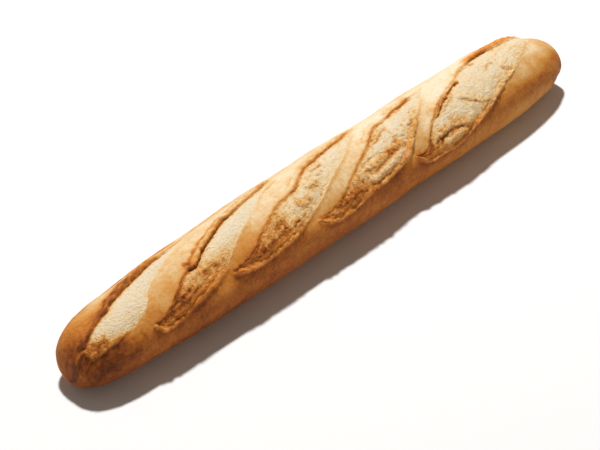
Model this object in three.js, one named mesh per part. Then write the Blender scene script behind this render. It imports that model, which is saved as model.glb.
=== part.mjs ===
// A baguette: one long loaf with five slanted slashes that opened in the oven.
// Millimetres, +X along the loaf, +Z up. The base is flat at z = 0 and the origin is
// under the middle of the loaf.
import * as THREE from 'three';

// ---- driving dimensions of the loaf ---------------------------------------------------
const LENGTH = 540;
const WIDTH = 74;
const ROUNDNESS = 0.8; // height of the round section over its width
const BASE_PRESS = 2.5; // how far the underside is pressed flat by its own weight
const TIP_DROP = 0.5; // 0 keeps the underside straight, 1 keeps the middle line straight

// Each end is a round cap on a gentle taper. The near end, at -X, is the slimmer one.
const NEAR_END = { cap: 47, fullness: 3.4, taper: 7.3, taperLength: 184 };
const FAR_END = { cap: 85, fullness: 4.7, taper: 1.9, taperLength: 175 };

// Uneven proofing: slow swells of the half width along the loaf.
const SWELLS = [
  { pitch: 91, size: 0.35, phase: 0.6 },
  { pitch: 173, size: 0.45, phase: 2.1 },
];

// ---- the slashes ----------------------------------------------------------------------
// A place on the crust is [x, c]: x along the loaf, and c the distance round the skin from
// the top line, positive towards the front (-Y). Each slash opened between its tear, on
// the back side, and its lip, on the front side. Both run from start to end, each bent by
// its own two handles. The ears are stretches of the tear, from one x to another, where
// the crust lifted. The crags are ridges of torn crumb inside the opening.
const SLASHES = [
  {
    start: [-262, 8],
    end: [-120, -24],
    tear: [[-227, -10], [-155, -19]],
    lip: [[-223, 49], [-165, -21]],
    ears: [{ from: -258, to: -122, height: 3.6 }],
    crags: [{ from: [-258, 11], to: [-238, 19], height: 0.8 }],
    bulge: 0.8,
  },
  {
    start: [-215, 28],
    end: [-30, -25],
    tear: [[-161, 19], [-86, -33]],
    lip: [[-164, 65], [-77, -21]],
    ears: [{ from: -166, to: -38, height: 3.4 }],
    crags: [{ from: [-202, 31], to: [-148, 29], height: 1.2 }],
    bulge: 0.9,
  },
  {
    start: [-140, 32],
    end: [55, -26],
    tear: [[-117, 44], [-37, -24]],
    lip: [[-55, 49], [-22, 11]],
    ears: [{ from: -34, to: 50, height: 2.4 }],
    crags: [
      { from: [-110, 31], to: [-84, 30], height: 1.2 },
      { from: [-67, 20], to: [-46, 17], height: 1.5 },
    ],
    bulge: 1,
  },
  {
    start: [-53, 35],
    end: [125, -18],
    tear: [[-22, 55], [20, -17]],
    lip: [[-21, 54], [45, 48]],
    ears: [{ from: 70, to: 104, height: 2 }],
    crags: [
      { from: [-15, 34], to: [8, 34], height: 1.4 },
      { from: [20, 22], to: [52, 24], height: 1.8 },
      { from: [34, 9], to: [54, 0], height: 1.1 },
    ],
    bulge: 1,
  },
  {
    start: [56, 35],
    end: [262, -13],
    tear: [[63, 62], [125, -41]],
    lip: [[71, 75], [259, 2]],
    ears: [
      { from: 104, to: 150, height: 1.8 },
      { from: 150, to: 250, height: 3.8 },
    ],
    crags: [
      { from: [80, 34], to: [126, 37], height: 2.2 },
      { from: [121, 13], to: [162, 30], height: 1.2 },
    ],
    bulge: 1,
  },
];

const TEAR_DEPTH = 3.2; // step down from the skin into the opening, under the ear
const TEAR_REACH = 4.5; // how far into the opening that step fades out
const LIP_DEPTH = 1.6; // step down from the skin at the lip
const LIP_REACH = 3;
const LIP_HEIGHT = 0.9; // the thin edge of crust that stands up along the lip
const LIP_WIDTH = 3.2;
const EAR_WIDTH = 11; // from the tear to where the ear has run out into the skin
const EAR_CREST = 0.35; // place of the ear's crest, as a share of that width
const EAR_ENDS = 9; // length over which an ear rises and falls at its ends
const BULGE_REACH = 13; // distance from the edges at which the opening is fully risen
const CRAG_WIDTH = 5.5; // from a crag's crest to where it has run out
const FADE_START = 0.05; // share of a slash over which it opens
const FADE_END = 0.14; // share of a slash over which it closes

// ---- mesh fineness --------------------------------------------------------------------
const CAP_RINGS = 9; // rings in each rounded end, closer together towards the tip
const CAP_LENGTH = 45; // length of loaf that those rings cover
const BODY_STEP = 4.9; // distance between rings elsewhere
const TOP_BACK = -62; // the slashed top starts at this angle, in degrees from the top line
const TOP_FRONT = 85; // and ends at this one, towards the front
const TOP_POINTS = 32; // points of a ring on the slashed top
const REST_POINTS = 16; // points of a ring on the rest of the loaf
const CURVE_POINTS = 28; // straight pieces in each tear and lip
const TURN_SAMPLES = 60; // steps used to measure round a section
const SLOPE_STEP = 0.5; // distance along the loaf over which its slope is measured

const CRUST_COLOUR = 0xd9a566;
const CRUST_ROUGHNESS = 0.72;

const smooth = (from, to, value) => THREE.MathUtils.smoothstep(value, from, to);

// ---- the loaf without its slashes -----------------------------------------------------
const capShare = (end, distance) => {
  const t = Math.min(distance / end.cap, 1);
  return (1 - (1 - t) ** 2) ** (1 / end.fullness);
};

const taperLoss = (end, distance) => end.taper * (1 - smooth(0, end.taperLength, distance));

function halfWidth(x) {
  const near = Math.max(x + LENGTH / 2, 0);
  const far = Math.max(LENGTH / 2 - x, 0);
  let half = WIDTH / 2 - taperLoss(NEAR_END, near) - taperLoss(FAR_END, far);
  for (const swell of SWELLS) {
    half += swell.size * Math.sin((2 * Math.PI * x) / swell.pitch + swell.phase);
  }
  return half * capShare(NEAR_END, near) * capShare(FAR_END, far);
}

const TALLEST = (WIDTH / 2) * ROUNDNESS;

// A point of the round section at x, turned by angle from the top towards the front.
function sectionPoint(x, angle) {
  const half = halfWidth(x);
  const tall = half * ROUNDNESS;
  const middle = TIP_DROP * tall + (1 - TIP_DROP) * TALLEST - BASE_PRESS;
  const height = middle + tall * Math.cos(angle);
  return new THREE.Vector3(x, -half * Math.sin(angle), Math.max(height, 0));
}

// The distance round the section from the top line to an angle, for a half width of 1.
function turnDistance(angle) {
  const step = angle / TURN_SAMPLES;
  let distance = 0;
  for (let i = 0; i < TURN_SAMPLES; i += 1) {
    const middle = (i + 0.5) * step;
    distance += Math.hypot(Math.cos(middle), ROUNDNESS * Math.sin(middle)) * step;
  }
  return distance;
}

const spread = (from, to, count) =>
  Array.from({ length: count }, (_, i) => from + ((to - from) * i) / count);

// The angles of a ring's points, from -180 to 180: close together over the slashed top.
const ANGLES = [
  ...spread(TOP_BACK, TOP_FRONT, TOP_POINTS),
  ...spread(TOP_FRONT, TOP_BACK + 360, REST_POINTS),
].map((degrees) => THREE.MathUtils.degToRad(degrees > 180 ? degrees - 360 : degrees));

// The x of each ring: closer together in the rounded ends.
function ringPlaces() {
  const shares = Array.from({ length: CAP_RINGS }, (_, i) => (i + 1) / (CAP_RINGS + 1));
  const fromTip = shares.map((share) => CAP_LENGTH * (1 - Math.cos((Math.PI / 2) * share)));
  const bodyHalf = LENGTH / 2 - CAP_LENGTH;
  const body = spread(-bodyHalf, bodyHalf, Math.round((2 * bodyHalf) / BODY_STEP));
  const near = fromTip.map((distance) => -LENGTH / 2 + distance);
  const far = fromTip.map((distance) => LENGTH / 2 - distance).reverse();
  return [...near, ...body, bodyHalf, ...far];
}

// ---- the relief of the slashes --------------------------------------------------------
function bent(slash, handles) {
  const points = [slash.start, ...handles, slash.end].map((p) => new THREE.Vector2(...p));
  return new THREE.CubicBezierCurve(...points).getSpacedPoints(CURVE_POINTS);
}

const openings = SLASHES.map((slash) => {
  const tear = bent(slash, slash.tear);
  const lip = bent(slash, slash.lip);
  return { slash, tear, lip, outline: [...tear, ...lip.slice(1, -1).reverse()] };
});

// The nearest place on a line: how far away it is, and how far along the line.
function nearest(line, place) {
  const step = new THREE.Vector2();
  const offset = new THREE.Vector2();
  let best = { distance: Infinity, along: 0, x: 0 };
  for (let i = 0; i < line.length - 1; i += 1) {
    step.subVectors(line[i + 1], line[i]);
    offset.subVectors(place, line[i]);
    const share = THREE.MathUtils.clamp(offset.dot(step) / step.lengthSq(), 0, 1);
    const distance = offset.addScaledVector(step, -share).length();
    if (distance < best.distance) {
      const along = (i + share) / (line.length - 1);
      best = { distance, along, x: line[i].x + step.x * share };
    }
  }
  return best;
}

function isInside(outline, place) {
  let inside = false;
  let before = outline[outline.length - 1];
  for (const corner of outline) {
    const crosses = corner.y > place.y !== before.y > place.y;
    const slope = (before.x - corner.x) / (before.y - corner.y);
    if (crosses && place.x < corner.x + slope * (place.y - corner.y)) inside = !inside;
    before = corner;
  }
  return inside;
}

function earHeight(ears, x) {
  let height = 0;
  for (const ear of ears) {
    const rise = smooth(ear.from, ear.from + EAR_ENDS, x);
    const fall = 1 - smooth(ear.to - EAR_ENDS, ear.to, x);
    height = Math.max(height, ear.height * rise * fall);
  }
  return height;
}

// The ear's section: steep up from the tear to its crest, then a long slope to the skin.
function earShape(distance) {
  const crest = EAR_CREST * EAR_WIDTH;
  if (distance < crest) return 0.7 + 0.3 * smooth(0, crest, distance);
  return 1 - smooth(crest, EAR_WIDTH, distance);
}

function floorHeight(slash, tear, lip, open) {
  const step = TEAR_DEPTH * Math.exp(-tear.distance / TEAR_REACH);
  const lipStep = LIP_DEPTH * Math.exp(-lip.distance / LIP_REACH);
  const risen = smooth(0, BULGE_REACH, Math.min(tear.distance, lip.distance));
  return open * (slash.bulge * risen - step - lipStep);
}

function cragHeight(crags, place) {
  let height = 0;
  for (const crag of crags) {
    const crest = [new THREE.Vector2(...crag.from), new THREE.Vector2(...crag.to)];
    height += crag.height * (1 - smooth(0, CRAG_WIDTH, nearest(crest, place).distance));
  }
  return height;
}

// How far the crust stands out from the plain loaf at a place.
function relief(place) {
  let height = 0;
  for (const { slash, tear, lip, outline } of openings) {
    const toTear = nearest(tear, place);
    const toLip = nearest(lip, place);
    const along = toTear.along;
    const open = smooth(0, FADE_START, along) * (1 - smooth(1 - FADE_END, 1, along));
    if (isInside(outline, place)) {
      height += floorHeight(slash, toTear, toLip, open) + cragHeight(slash.crags, place);
    } else if (toTear.distance < toLip.distance) {
      height += earHeight(slash.ears, toTear.x) * earShape(toTear.distance);
    } else {
      height += open * LIP_HEIGHT * (1 - smooth(0, LIP_WIDTH, toLip.distance));
    }
  }
  return height;
}

// ---- the solid ------------------------------------------------------------------------
// Straight out from the plain loaf at a point of its skin.
function outwardAt(x, angle) {
  const edge = LENGTH / 2 - SLOPE_STEP / 10;
  const before = sectionPoint(Math.max(x - SLOPE_STEP, -edge), angle);
  const after = sectionPoint(Math.min(x + SLOPE_STEP, edge), angle);
  const roundLoaf = new THREE.Vector3(0, -Math.cos(angle), -ROUNDNESS * Math.sin(angle));
  return roundLoaf.cross(after.sub(before)).normalize();
}

// One ring of skin points at x, each moved out or in by the relief.
function ring(x) {
  return ANGLES.map((angle) => {
    const point = sectionPoint(x, angle);
    if (point.z === 0) return point;
    const place = new THREE.Vector2(x, halfWidth(x) * turnDistance(angle));
    return point.addScaledVector(outwardAt(x, angle), relief(place));
  });
}

function loafGeometry() {
  const rings = ringPlaces().map(ring);
  const across = ANGLES.length;
  const tipHeight = sectionPoint(LENGTH / 2, 0).z;
  const points = rings.flat();
  const nearTip = points.length;
  const farTip = nearTip + 1;
  points.push(new THREE.Vector3(-LENGTH / 2, 0, tipHeight));
  points.push(new THREE.Vector3(LENGTH / 2, 0, tipHeight));
  const faces = [];
  for (let j = 0; j < across; j += 1) {
    const k = (j + 1) % across;
    faces.push(nearTip, k, j);
    for (let i = 0; i < rings.length - 1; i += 1) {
      const here = i * across;
      const next = here + across;
      faces.push(here + j, here + k, next + j);
      faces.push(here + k, next + k, next + j);
    }
    const lastRing = (rings.length - 1) * across;
    faces.push(farTip, lastRing + j, lastRing + k);
  }
  const geometry = new THREE.BufferGeometry();
  const numbers = points.flatMap((point) => point.toArray());
  geometry.setAttribute('position', new THREE.Float32BufferAttribute(numbers, 3));
  geometry.setIndex(faces);
  geometry.computeVertexNormals();
  return geometry;
}

const crust = new THREE.MeshStandardMaterial({
  color: CRUST_COLOUR,
  roughness: CRUST_ROUGHNESS,
  metalness: 0,
});

const baguette = new THREE.Group();
const loaf = new THREE.Mesh(loafGeometry(), crust);
loaf.name = 'loaf';
baguette.add(loaf);

export default baguette;
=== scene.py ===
# %% [markdown]
# # A baguette
#
# A lesson in cells: one long loaf, baked on its flat base, with five slanted slashes that
# opened in the oven. The real thing is a single piece of bread, so the model is mainly one
# fine skin, pushed in and out where the crust lifted, tore and blistered. What the oven did
# to the dough is worked out in plain numbers first, and Blender then gets the finished
# points, the masks that say how baked or how torn each point is, with some shade, glow and
# highlight painted in, and one crust material that reads those masks.
#
# Everything is worked out in millimetres on the loaf's own surface, and becomes metres
# only when a mesh is made.

import math
from types import SimpleNamespace

import bpy
import numpy as np
from mathutils import Matrix, Vector


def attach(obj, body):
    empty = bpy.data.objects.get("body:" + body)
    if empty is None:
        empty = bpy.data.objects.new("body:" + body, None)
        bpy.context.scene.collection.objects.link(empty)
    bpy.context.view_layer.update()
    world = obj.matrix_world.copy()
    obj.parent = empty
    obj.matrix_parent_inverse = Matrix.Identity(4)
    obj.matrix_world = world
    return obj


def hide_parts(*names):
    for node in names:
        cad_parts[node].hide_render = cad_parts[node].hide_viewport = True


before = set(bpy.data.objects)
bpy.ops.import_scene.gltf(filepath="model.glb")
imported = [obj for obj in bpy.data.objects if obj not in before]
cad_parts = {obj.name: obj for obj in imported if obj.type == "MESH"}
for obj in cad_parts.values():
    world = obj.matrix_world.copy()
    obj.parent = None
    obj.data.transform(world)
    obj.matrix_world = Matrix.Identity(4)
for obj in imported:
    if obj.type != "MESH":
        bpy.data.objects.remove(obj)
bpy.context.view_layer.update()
MM = 0.001

# %% [markdown]
# ## Camera
#
# The camera comes first, because it says how much detail can be seen: here about one pixel
# for each millimetre of loaf. It stands in front of the loaf's left end and looks down
# along it, through a long lens, so the loaf runs from the lower left to the upper right
# with little perspective. Position and aim are worked out from an angle, a height and a
# distance, which is easier to correct than three coordinates.

# %% Place the camera
VIEW_TURN = math.radians(47.0)  # from looking straight across the loaf towards its far end
VIEW_DOWN = math.radians(38.0)
VIEW_DISTANCE = 1300 * MM
VIEW_CENTRE_HEIGHT = 30 * MM
VIEW_SLIDE = (-26.9 * MM, -30.6 * MM)  # of the aim, to the right and up in the picture
LENS = 101.8
SENSOR = 36.0

forward = Vector((
    math.sin(VIEW_TURN) * math.cos(VIEW_DOWN),
    math.cos(VIEW_TURN) * math.cos(VIEW_DOWN),
    -math.sin(VIEW_DOWN),
))
rightward = Vector((math.cos(VIEW_TURN), -math.sin(VIEW_TURN), 0))
upward = rightward.cross(forward)
aim = Vector((0, 0, VIEW_CENTRE_HEIGHT)) + rightward * VIEW_SLIDE[0] + upward * VIEW_SLIDE[1]

camera_data = bpy.data.cameras.new("camera")
camera_data.lens = LENS
camera_data.sensor_width = SENSOR
camera_data.sensor_fit = "HORIZONTAL"
camera_data.clip_end = 20
camera = bpy.data.objects.new("camera", camera_data)
turn = Matrix((rightward, upward, -forward)).transposed().to_4x4()
camera.matrix_world = Matrix.Translation(aim - forward * VIEW_DISTANCE) @ turn
bpy.context.collection.objects.link(camera)
bpy.context.scene.camera = camera
print("camera at", [round(v, 3) for v in camera.matrix_world.translation])

# %% [markdown]
# ## The plain loaf
#
# Dough is rolled into a long cylinder, proofs, and settles. Its section is a little wider
# than high, its base is pressed flat, and its ends are rounded, one slimmer than the other.
# The formula below gives the half width at any place along the loaf. It is the same one
# that the solid model uses, so the fine skin lands on the solid.

# %% Sizes of the loaf, in millimetres
LENGTH = 540.0
WIDTH = 74.0
ROUNDNESS = 0.8  # height of the round section over its width
BASE_PRESS = 2.5  # how far the underside is pressed flat
TIP_DROP = 0.5  # 0 keeps the underside straight, 1 keeps the middle line straight
NEAR_END = {"cap": 47, "fullness": 3.4, "taper": 7.3, "taper_length": 184}
FAR_END = {"cap": 85, "fullness": 4.7, "taper": 1.9, "taper_length": 175}
SWELLS = [(91, 0.35, 0.6), (173, 0.45, 2.1)]  # pitch, size and phase


def smooth(low, high, value):
    """0 below low, 1 above high, and an even S between them."""
    t = np.clip((value - low) / (high - low), 0, 1)
    return t * t * (3 - 2 * t)


def end_share(end, distance):
    t = np.clip(distance / end["cap"], 0, 1)
    return (1 - (1 - t) ** 2) ** (1 / end["fullness"])


def half_width(x):
    near = np.maximum(x + LENGTH / 2, 0)
    far = np.maximum(LENGTH / 2 - x, 0)
    half = WIDTH / 2
    half = half - NEAR_END["taper"] * (1 - smooth(0, NEAR_END["taper_length"], near))
    half = half - FAR_END["taper"] * (1 - smooth(0, FAR_END["taper_length"], far))
    for pitch, size, phase in SWELLS:
        half = half + size * np.sin(2 * math.pi * x / pitch + phase)
    return half * end_share(NEAR_END, near) * end_share(FAR_END, far)


def section_point(x, angle):
    """The plain loaf's skin at x, turned by angle from the top towards the front."""
    half = half_width(x)
    tall = half * ROUNDNESS
    middle = TIP_DROP * tall + (1 - TIP_DROP) * WIDTH / 2 * ROUNDNESS - BASE_PRESS
    height = np.maximum(middle + tall * np.cos(angle), 0)
    return np.stack([x + 0 * angle, -half * np.sin(angle), height], axis=-1)


print("widest", round(2 * float(half_width(np.linspace(-270, 270, 999)).max()), 1), "mm")

# %% [markdown]
# ## Places on the crust
#
# A slash is a line on a curved skin, so it is easiest to draw on the skin laid out flat:
# x runs along the loaf, and c is the distance round the skin from the top line, positive
# towards the front. To go from c to a point, the distance round an ellipse is measured
# once, for a half width of 1, and looked up.

# %% From distance round the skin to angle
TURN_SAMPLES = 2001
turn_angles = np.linspace(-math.pi, math.pi, TURN_SAMPLES)
turn_speed = np.hypot(np.cos(turn_angles), ROUNDNESS * np.sin(turn_angles))
turn_steps = (turn_speed[1:] + turn_speed[:-1]) / 2 * np.diff(turn_angles)
turn_rounds = np.concatenate([[0], np.cumsum(turn_steps)])
turn_rounds -= turn_rounds[TURN_SAMPLES // 2]
HALF_TURN = turn_rounds[-1] * WIDTH / 2
print("round the whole section:", round(2 * HALF_TURN, 1), "mm")


def angle_at(c_share):
    """The angle at a distance round the section, for a half width of 1."""
    return np.interp(c_share, turn_rounds, turn_angles)


# %% [markdown]
# ## The five slashes
#
# A baker draws a blade along the loaf in long, overlapping, slanted cuts. In the oven each
# cut opens: the skin on its back side lifts into an ear, the dough inside swells up pale
# and floury, and on the front side the crust keeps a thin ragged lip. The lower end of the
# skin between two slashes tucks in behind the next lip.
#
# So each slash is two lines drawn on the flat skin, the tear at the back and the lip at
# the front, from one shared start to one shared end. A torn line has no formula, so it is
# drawn through a few given places and smoothed. The other values say how the opening
# took shape and how it baked. A value that changes along the loaf is a small table, from
# places along x to values.
#
# - `ears` are the stretches of the tear that lifted: from x, to x, height, the length over
#   which it rises, how far it is rolled like a rope (0 is a thin folded flap), and how far
#   it leans over the opening (0 is skin that only swelled up). The glow value is how much
#   painted orange glow the ear gets, as if light shone through it.
# - `depth` is how deep the crease is where no ear stands, and `bulge` how far the floor rose.
# - `rough` is how craggy the torn floor is.
# - `crisp` is the share of the lip, from its start, that broke off sharply. Beyond it the
#   dough runs into the skin over a soft rim, and `soft` is how much of a rim.
# - `lip_tall` is the lip's height against the plain cross-section, `shoulder` the height of
#   the dough's last roll behind it, and `double` the stretch where the lip split in two.
# - `flour` is how floury the floor stayed, down to the distance `flour_to` round the skin,
#   and `golden` how far the rest of it browned.
# - `ear_bake`, the torn face's bake value, `lip_bake` and `band_bake` say how brown the ear is,
#   the torn face under its edge (darkened further as painted shade), the lip, and the band of
#   dough just behind the lip.

# %% The slashes, as places (x, c) on the crust
SLASHES = [
    {
        "tear": [(-262, 8), (-257, 6), (-250, 3.2), (-242, 1.2), (-232, -0.2), (-225, -3.5),
                 (-218, -5.5), (-206, -8.8), (-194, -10.8), (-180, -14.1), (-164, -17.7),
                 (-146, -20), (-122, -25)],
        "lip": [(-262, 8), (-261, 13.5), (-257, 18.6), (-249, 20.8), (-236, 22), (-221, 21.2),
                (-209, 15.5), (-198, 6), (-186, 0), (-168, -8), (-148, -16), (-122, -25)],
        "ears": [(-259, -156, 2.8, 44, 0.2, 1)], "ear_glow": 0.15,
        "depth": {0: 1}, "bulge": 0.7, "rough": 0.12,
        "crisp": 0.36, "soft": 0, "lip_tall": {0: 1}, "shoulder": {0: 0}, "double": None,
        "flour": {-250: 0.5, -228: 0.54, -208: 0.66, -190: 0.85}, "flour_to": 30,
        "golden": {0: 0},
        "ear_bake": {-245: 0.9, -205: 0.86, -178: 0.58, -158: 0.4},
        "face_bake": {-245: 0.62, -205: 0.54, -178: 0.5, -158: 0.38},
        "lip_bake": {-235: 0.55, -215: 0.36}, "band_bake": {-240: 0.7, -215: 0.5},
    },
    {
        "tear": [(-213, 29), (-205, 30), (-196, 27), (-180, 17.5), (-171, 13), (-166, 12.5),
                 (-160, 13), (-153, 10), (-140, 3), (-130, -0.5), (-120, -5), (-108, -8.5),
                 (-88, -12.5), (-70, -15.5), (-50, -21), (-30, -25)],
        "lip": [(-213, 29), (-209, 35), (-205, 37.5), (-190, 37), (-172, 34.4), (-158, 31.7),
                (-142, 28.5), (-134, 23), (-122, 16), (-108, 9.5), (-92, 2), (-74, -7),
                (-52, -18), (-30, -25)],
        "ears": [(-168, -96, 2.8, 3, 1.0, 1), (-122, -42, 1.5, 20, 0.6, 1)], "ear_glow": 0.2,
        "depth": {0: 1}, "bulge": 0.8, "rough": 0.16,
        "crisp": 0.44, "soft": 0.4, "lip_tall": {-200: 1.8, -186: 0.9},
        "shoulder": {0: 1.5}, "double": (-206, -150),
        "flour": {0: 0.92}, "flour_to": 15, "golden": {-185: 0.28, -165: 0.12},
        "ear_bake": {-150: 0.42, -100: 0.34}, "face_bake": {-160: 0.68, -130: 0.6, -100: 0.44},
        "lip_bake": {-204: 0.4, -188: 0.88, -155: 0.62},
        "band_bake": {-206: 0.5, -192: 0.8, -155: 0.62},
    },
    {
        "tear": [(-140, 32), (-130, 31.5), (-120, 30), (-112, 26), (-100, 20), (-88, 15),
                 (-70, 8.5), (-58, 6.2), (-50, 4.4), (-43, 0.5), (-36, -2.8), (-28, -6.6),
                 (-20, -9.2), (0, -12), (20, -15), (36, -20), (55, -26)],
        "lip": [(-140, 32), (-135, 34.5), (-122, 38), (-108, 38.7), (-92, 38), (-80, 37),
                (-70, 34.5), (-58, 30.5), (-40, 24), (-20, 15), (4, 5), (20, -4), (36, -14),
                (55, -26)],
        "ears": [(-62, -38, 0.8, 12, 0.8, 1), (-44, 46, 1.5, 14, 0.4, 1)], "ear_glow": 0.2,
        "depth": {-130: 0.6, -60: 1}, "bulge": 0.9, "rough": 0.75,
        "crisp": 0.48, "soft": 1, "lip_tall": {0: 1.2}, "shoulder": {0: 1.8},
        "double": (-118, -62),
        "flour": {0: 0.68}, "flour_to": 22, "golden": {0: 0.08},
        "ear_bake": {0: 0.38}, "face_bake": {0: 0.54},
        "lip_bake": {0: 0.5}, "band_bake": {-120: 0.66, -80: 0.5},
    },
    {
        "tear": [(-53, 35), (-42, 36), (-30, 34), (-20, 30), (0, 20.4), (20, 11.3), (30, 5.9),
                 (40, 0), (48, -4), (66, -7.5), (78, -9.5), (90, -10), (104, -14), (125, -18)],
        "lip": [(-53, 35), (-49, 39), (-42, 43), (-33, 45.5), (-20, 44.5), (-5, 42.5),
                (10, 40.5), (25, 39), (38, 36.5), (50, 33), (57, 29.5), (64, 24), (74, 17.5),
                (86, 9), (98, 1), (110, -7), (125, -18)],
        "ears": [(22, 62, 0.7, 10, 0.8, 1), (64, 106, 1.4, 8, 0.3, 1)], "ear_glow": 0.2,
        "depth": {-40: 0.3, -5: 0.5, 12: 1}, "bulge": 1.2, "rough": 1.0,
        "crisp": 0.8, "soft": 1, "lip_tall": {0: 1.4}, "shoulder": {-20: 1.6, 5: 2.4},
        "double": None,
        "flour": {0: 0.78}, "flour_to": 34, "golden": {0: 0},
        "ear_bake": {0: 0.42}, "face_bake": {0: 0.5},
        "lip_bake": {0: 0.5}, "band_bake": {-20: 0.6, 5: 0.52, 60: 0.4},
    },
    {
        "tear": [(57, 35), (66, 38), (75, 35), (80, 29), (86, 24), (93, 19.5), (100, 15.5),
                 (108, 11), (116, 8), (124, 5.2), (132, 2.6), (140, 0.2), (148, -3),
                 (156, -7.4), (164, -10), (190, -11.5), (220, -13.5), (240, -15), (262, -13)],
        "lip": [(57, 35), (61, 39), (66, 43), (72, 46), (85, 47), (100, 48), (112, 46.5),
                (133, 41.1), (142, 38.7), (152, 35.2), (165, 31), (178, 26.5), (192, 22.5),
                (205, 18), (217, 13), (228, 8), (240, 1), (252, -6), (262, -13)],
        "ears": [(166, 220, 2.6, 14, 0.4, 1), (182, 256, 2.8, 20, 0.5, 0.1)], "ear_glow": 0.9,
        "depth": {115: 1, 125: 0.5, 150: 0.5, 160: 1}, "bulge": 0.9, "rough": 0.6,
        "crisp": 0.68, "soft": 0.6, "lip_tall": {0: 1.3}, "shoulder": {118: 2.6, 134: 0.8},
        "double": None,
        "flour": {120: 0.55, 180: 0.7}, "flour_to": 42, "golden": {0: 0},
        "ear_bake": {160: 0.56, 190: 0.64}, "face_bake": {190: 0.54, 210: 0.5},
        "lip_bake": {110: 0.44, 150: 0.42, 190: 0.4, 225: 0.5},
        "band_bake": {120: 0.58, 140: 0.4, 190: 0.22},
    },
]
CURVE_STEPS = 6


def smooth_line(points):
    """A smooth curve through given points (a Catmull-Rom curve)."""
    p = np.array(points, float)
    p = np.concatenate([[2 * p[0] - p[1]], p, [2 * p[-1] - p[-2]]])
    t = np.arange(CURVE_STEPS)[:, None] / CURVE_STEPS
    pieces = []
    for a, b, c, d in zip(p, p[1:], p[2:], p[3:]):
        bend = 2 * a - 5 * b + 4 * c - d
        pieces.append(0.5 * (2 * b + (c - a) * t + bend * t ** 2 + (3 * b - 3 * c + d - a) * t ** 3))
    return np.concatenate(pieces + [p[-2:-1]])


tears = [smooth_line(slash["tear"]) for slash in SLASHES]
lips = [smooth_line(slash["lip"]) for slash in SLASHES]
print(len(SLASHES), "slashes, from x =", [slash["tear"][0][0] for slash in SLASHES])

# %% [markdown]
# ## Crags, flaps and flakes
#
# Inside the openings the dough tore in layers. The larger ridges are drawn too, each as a
# short line with a height, a width, how steeply its front side drops (0 is an even ridge,
# 1 is a cliff) and how brown it baked (below 0, it stayed pale).

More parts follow.
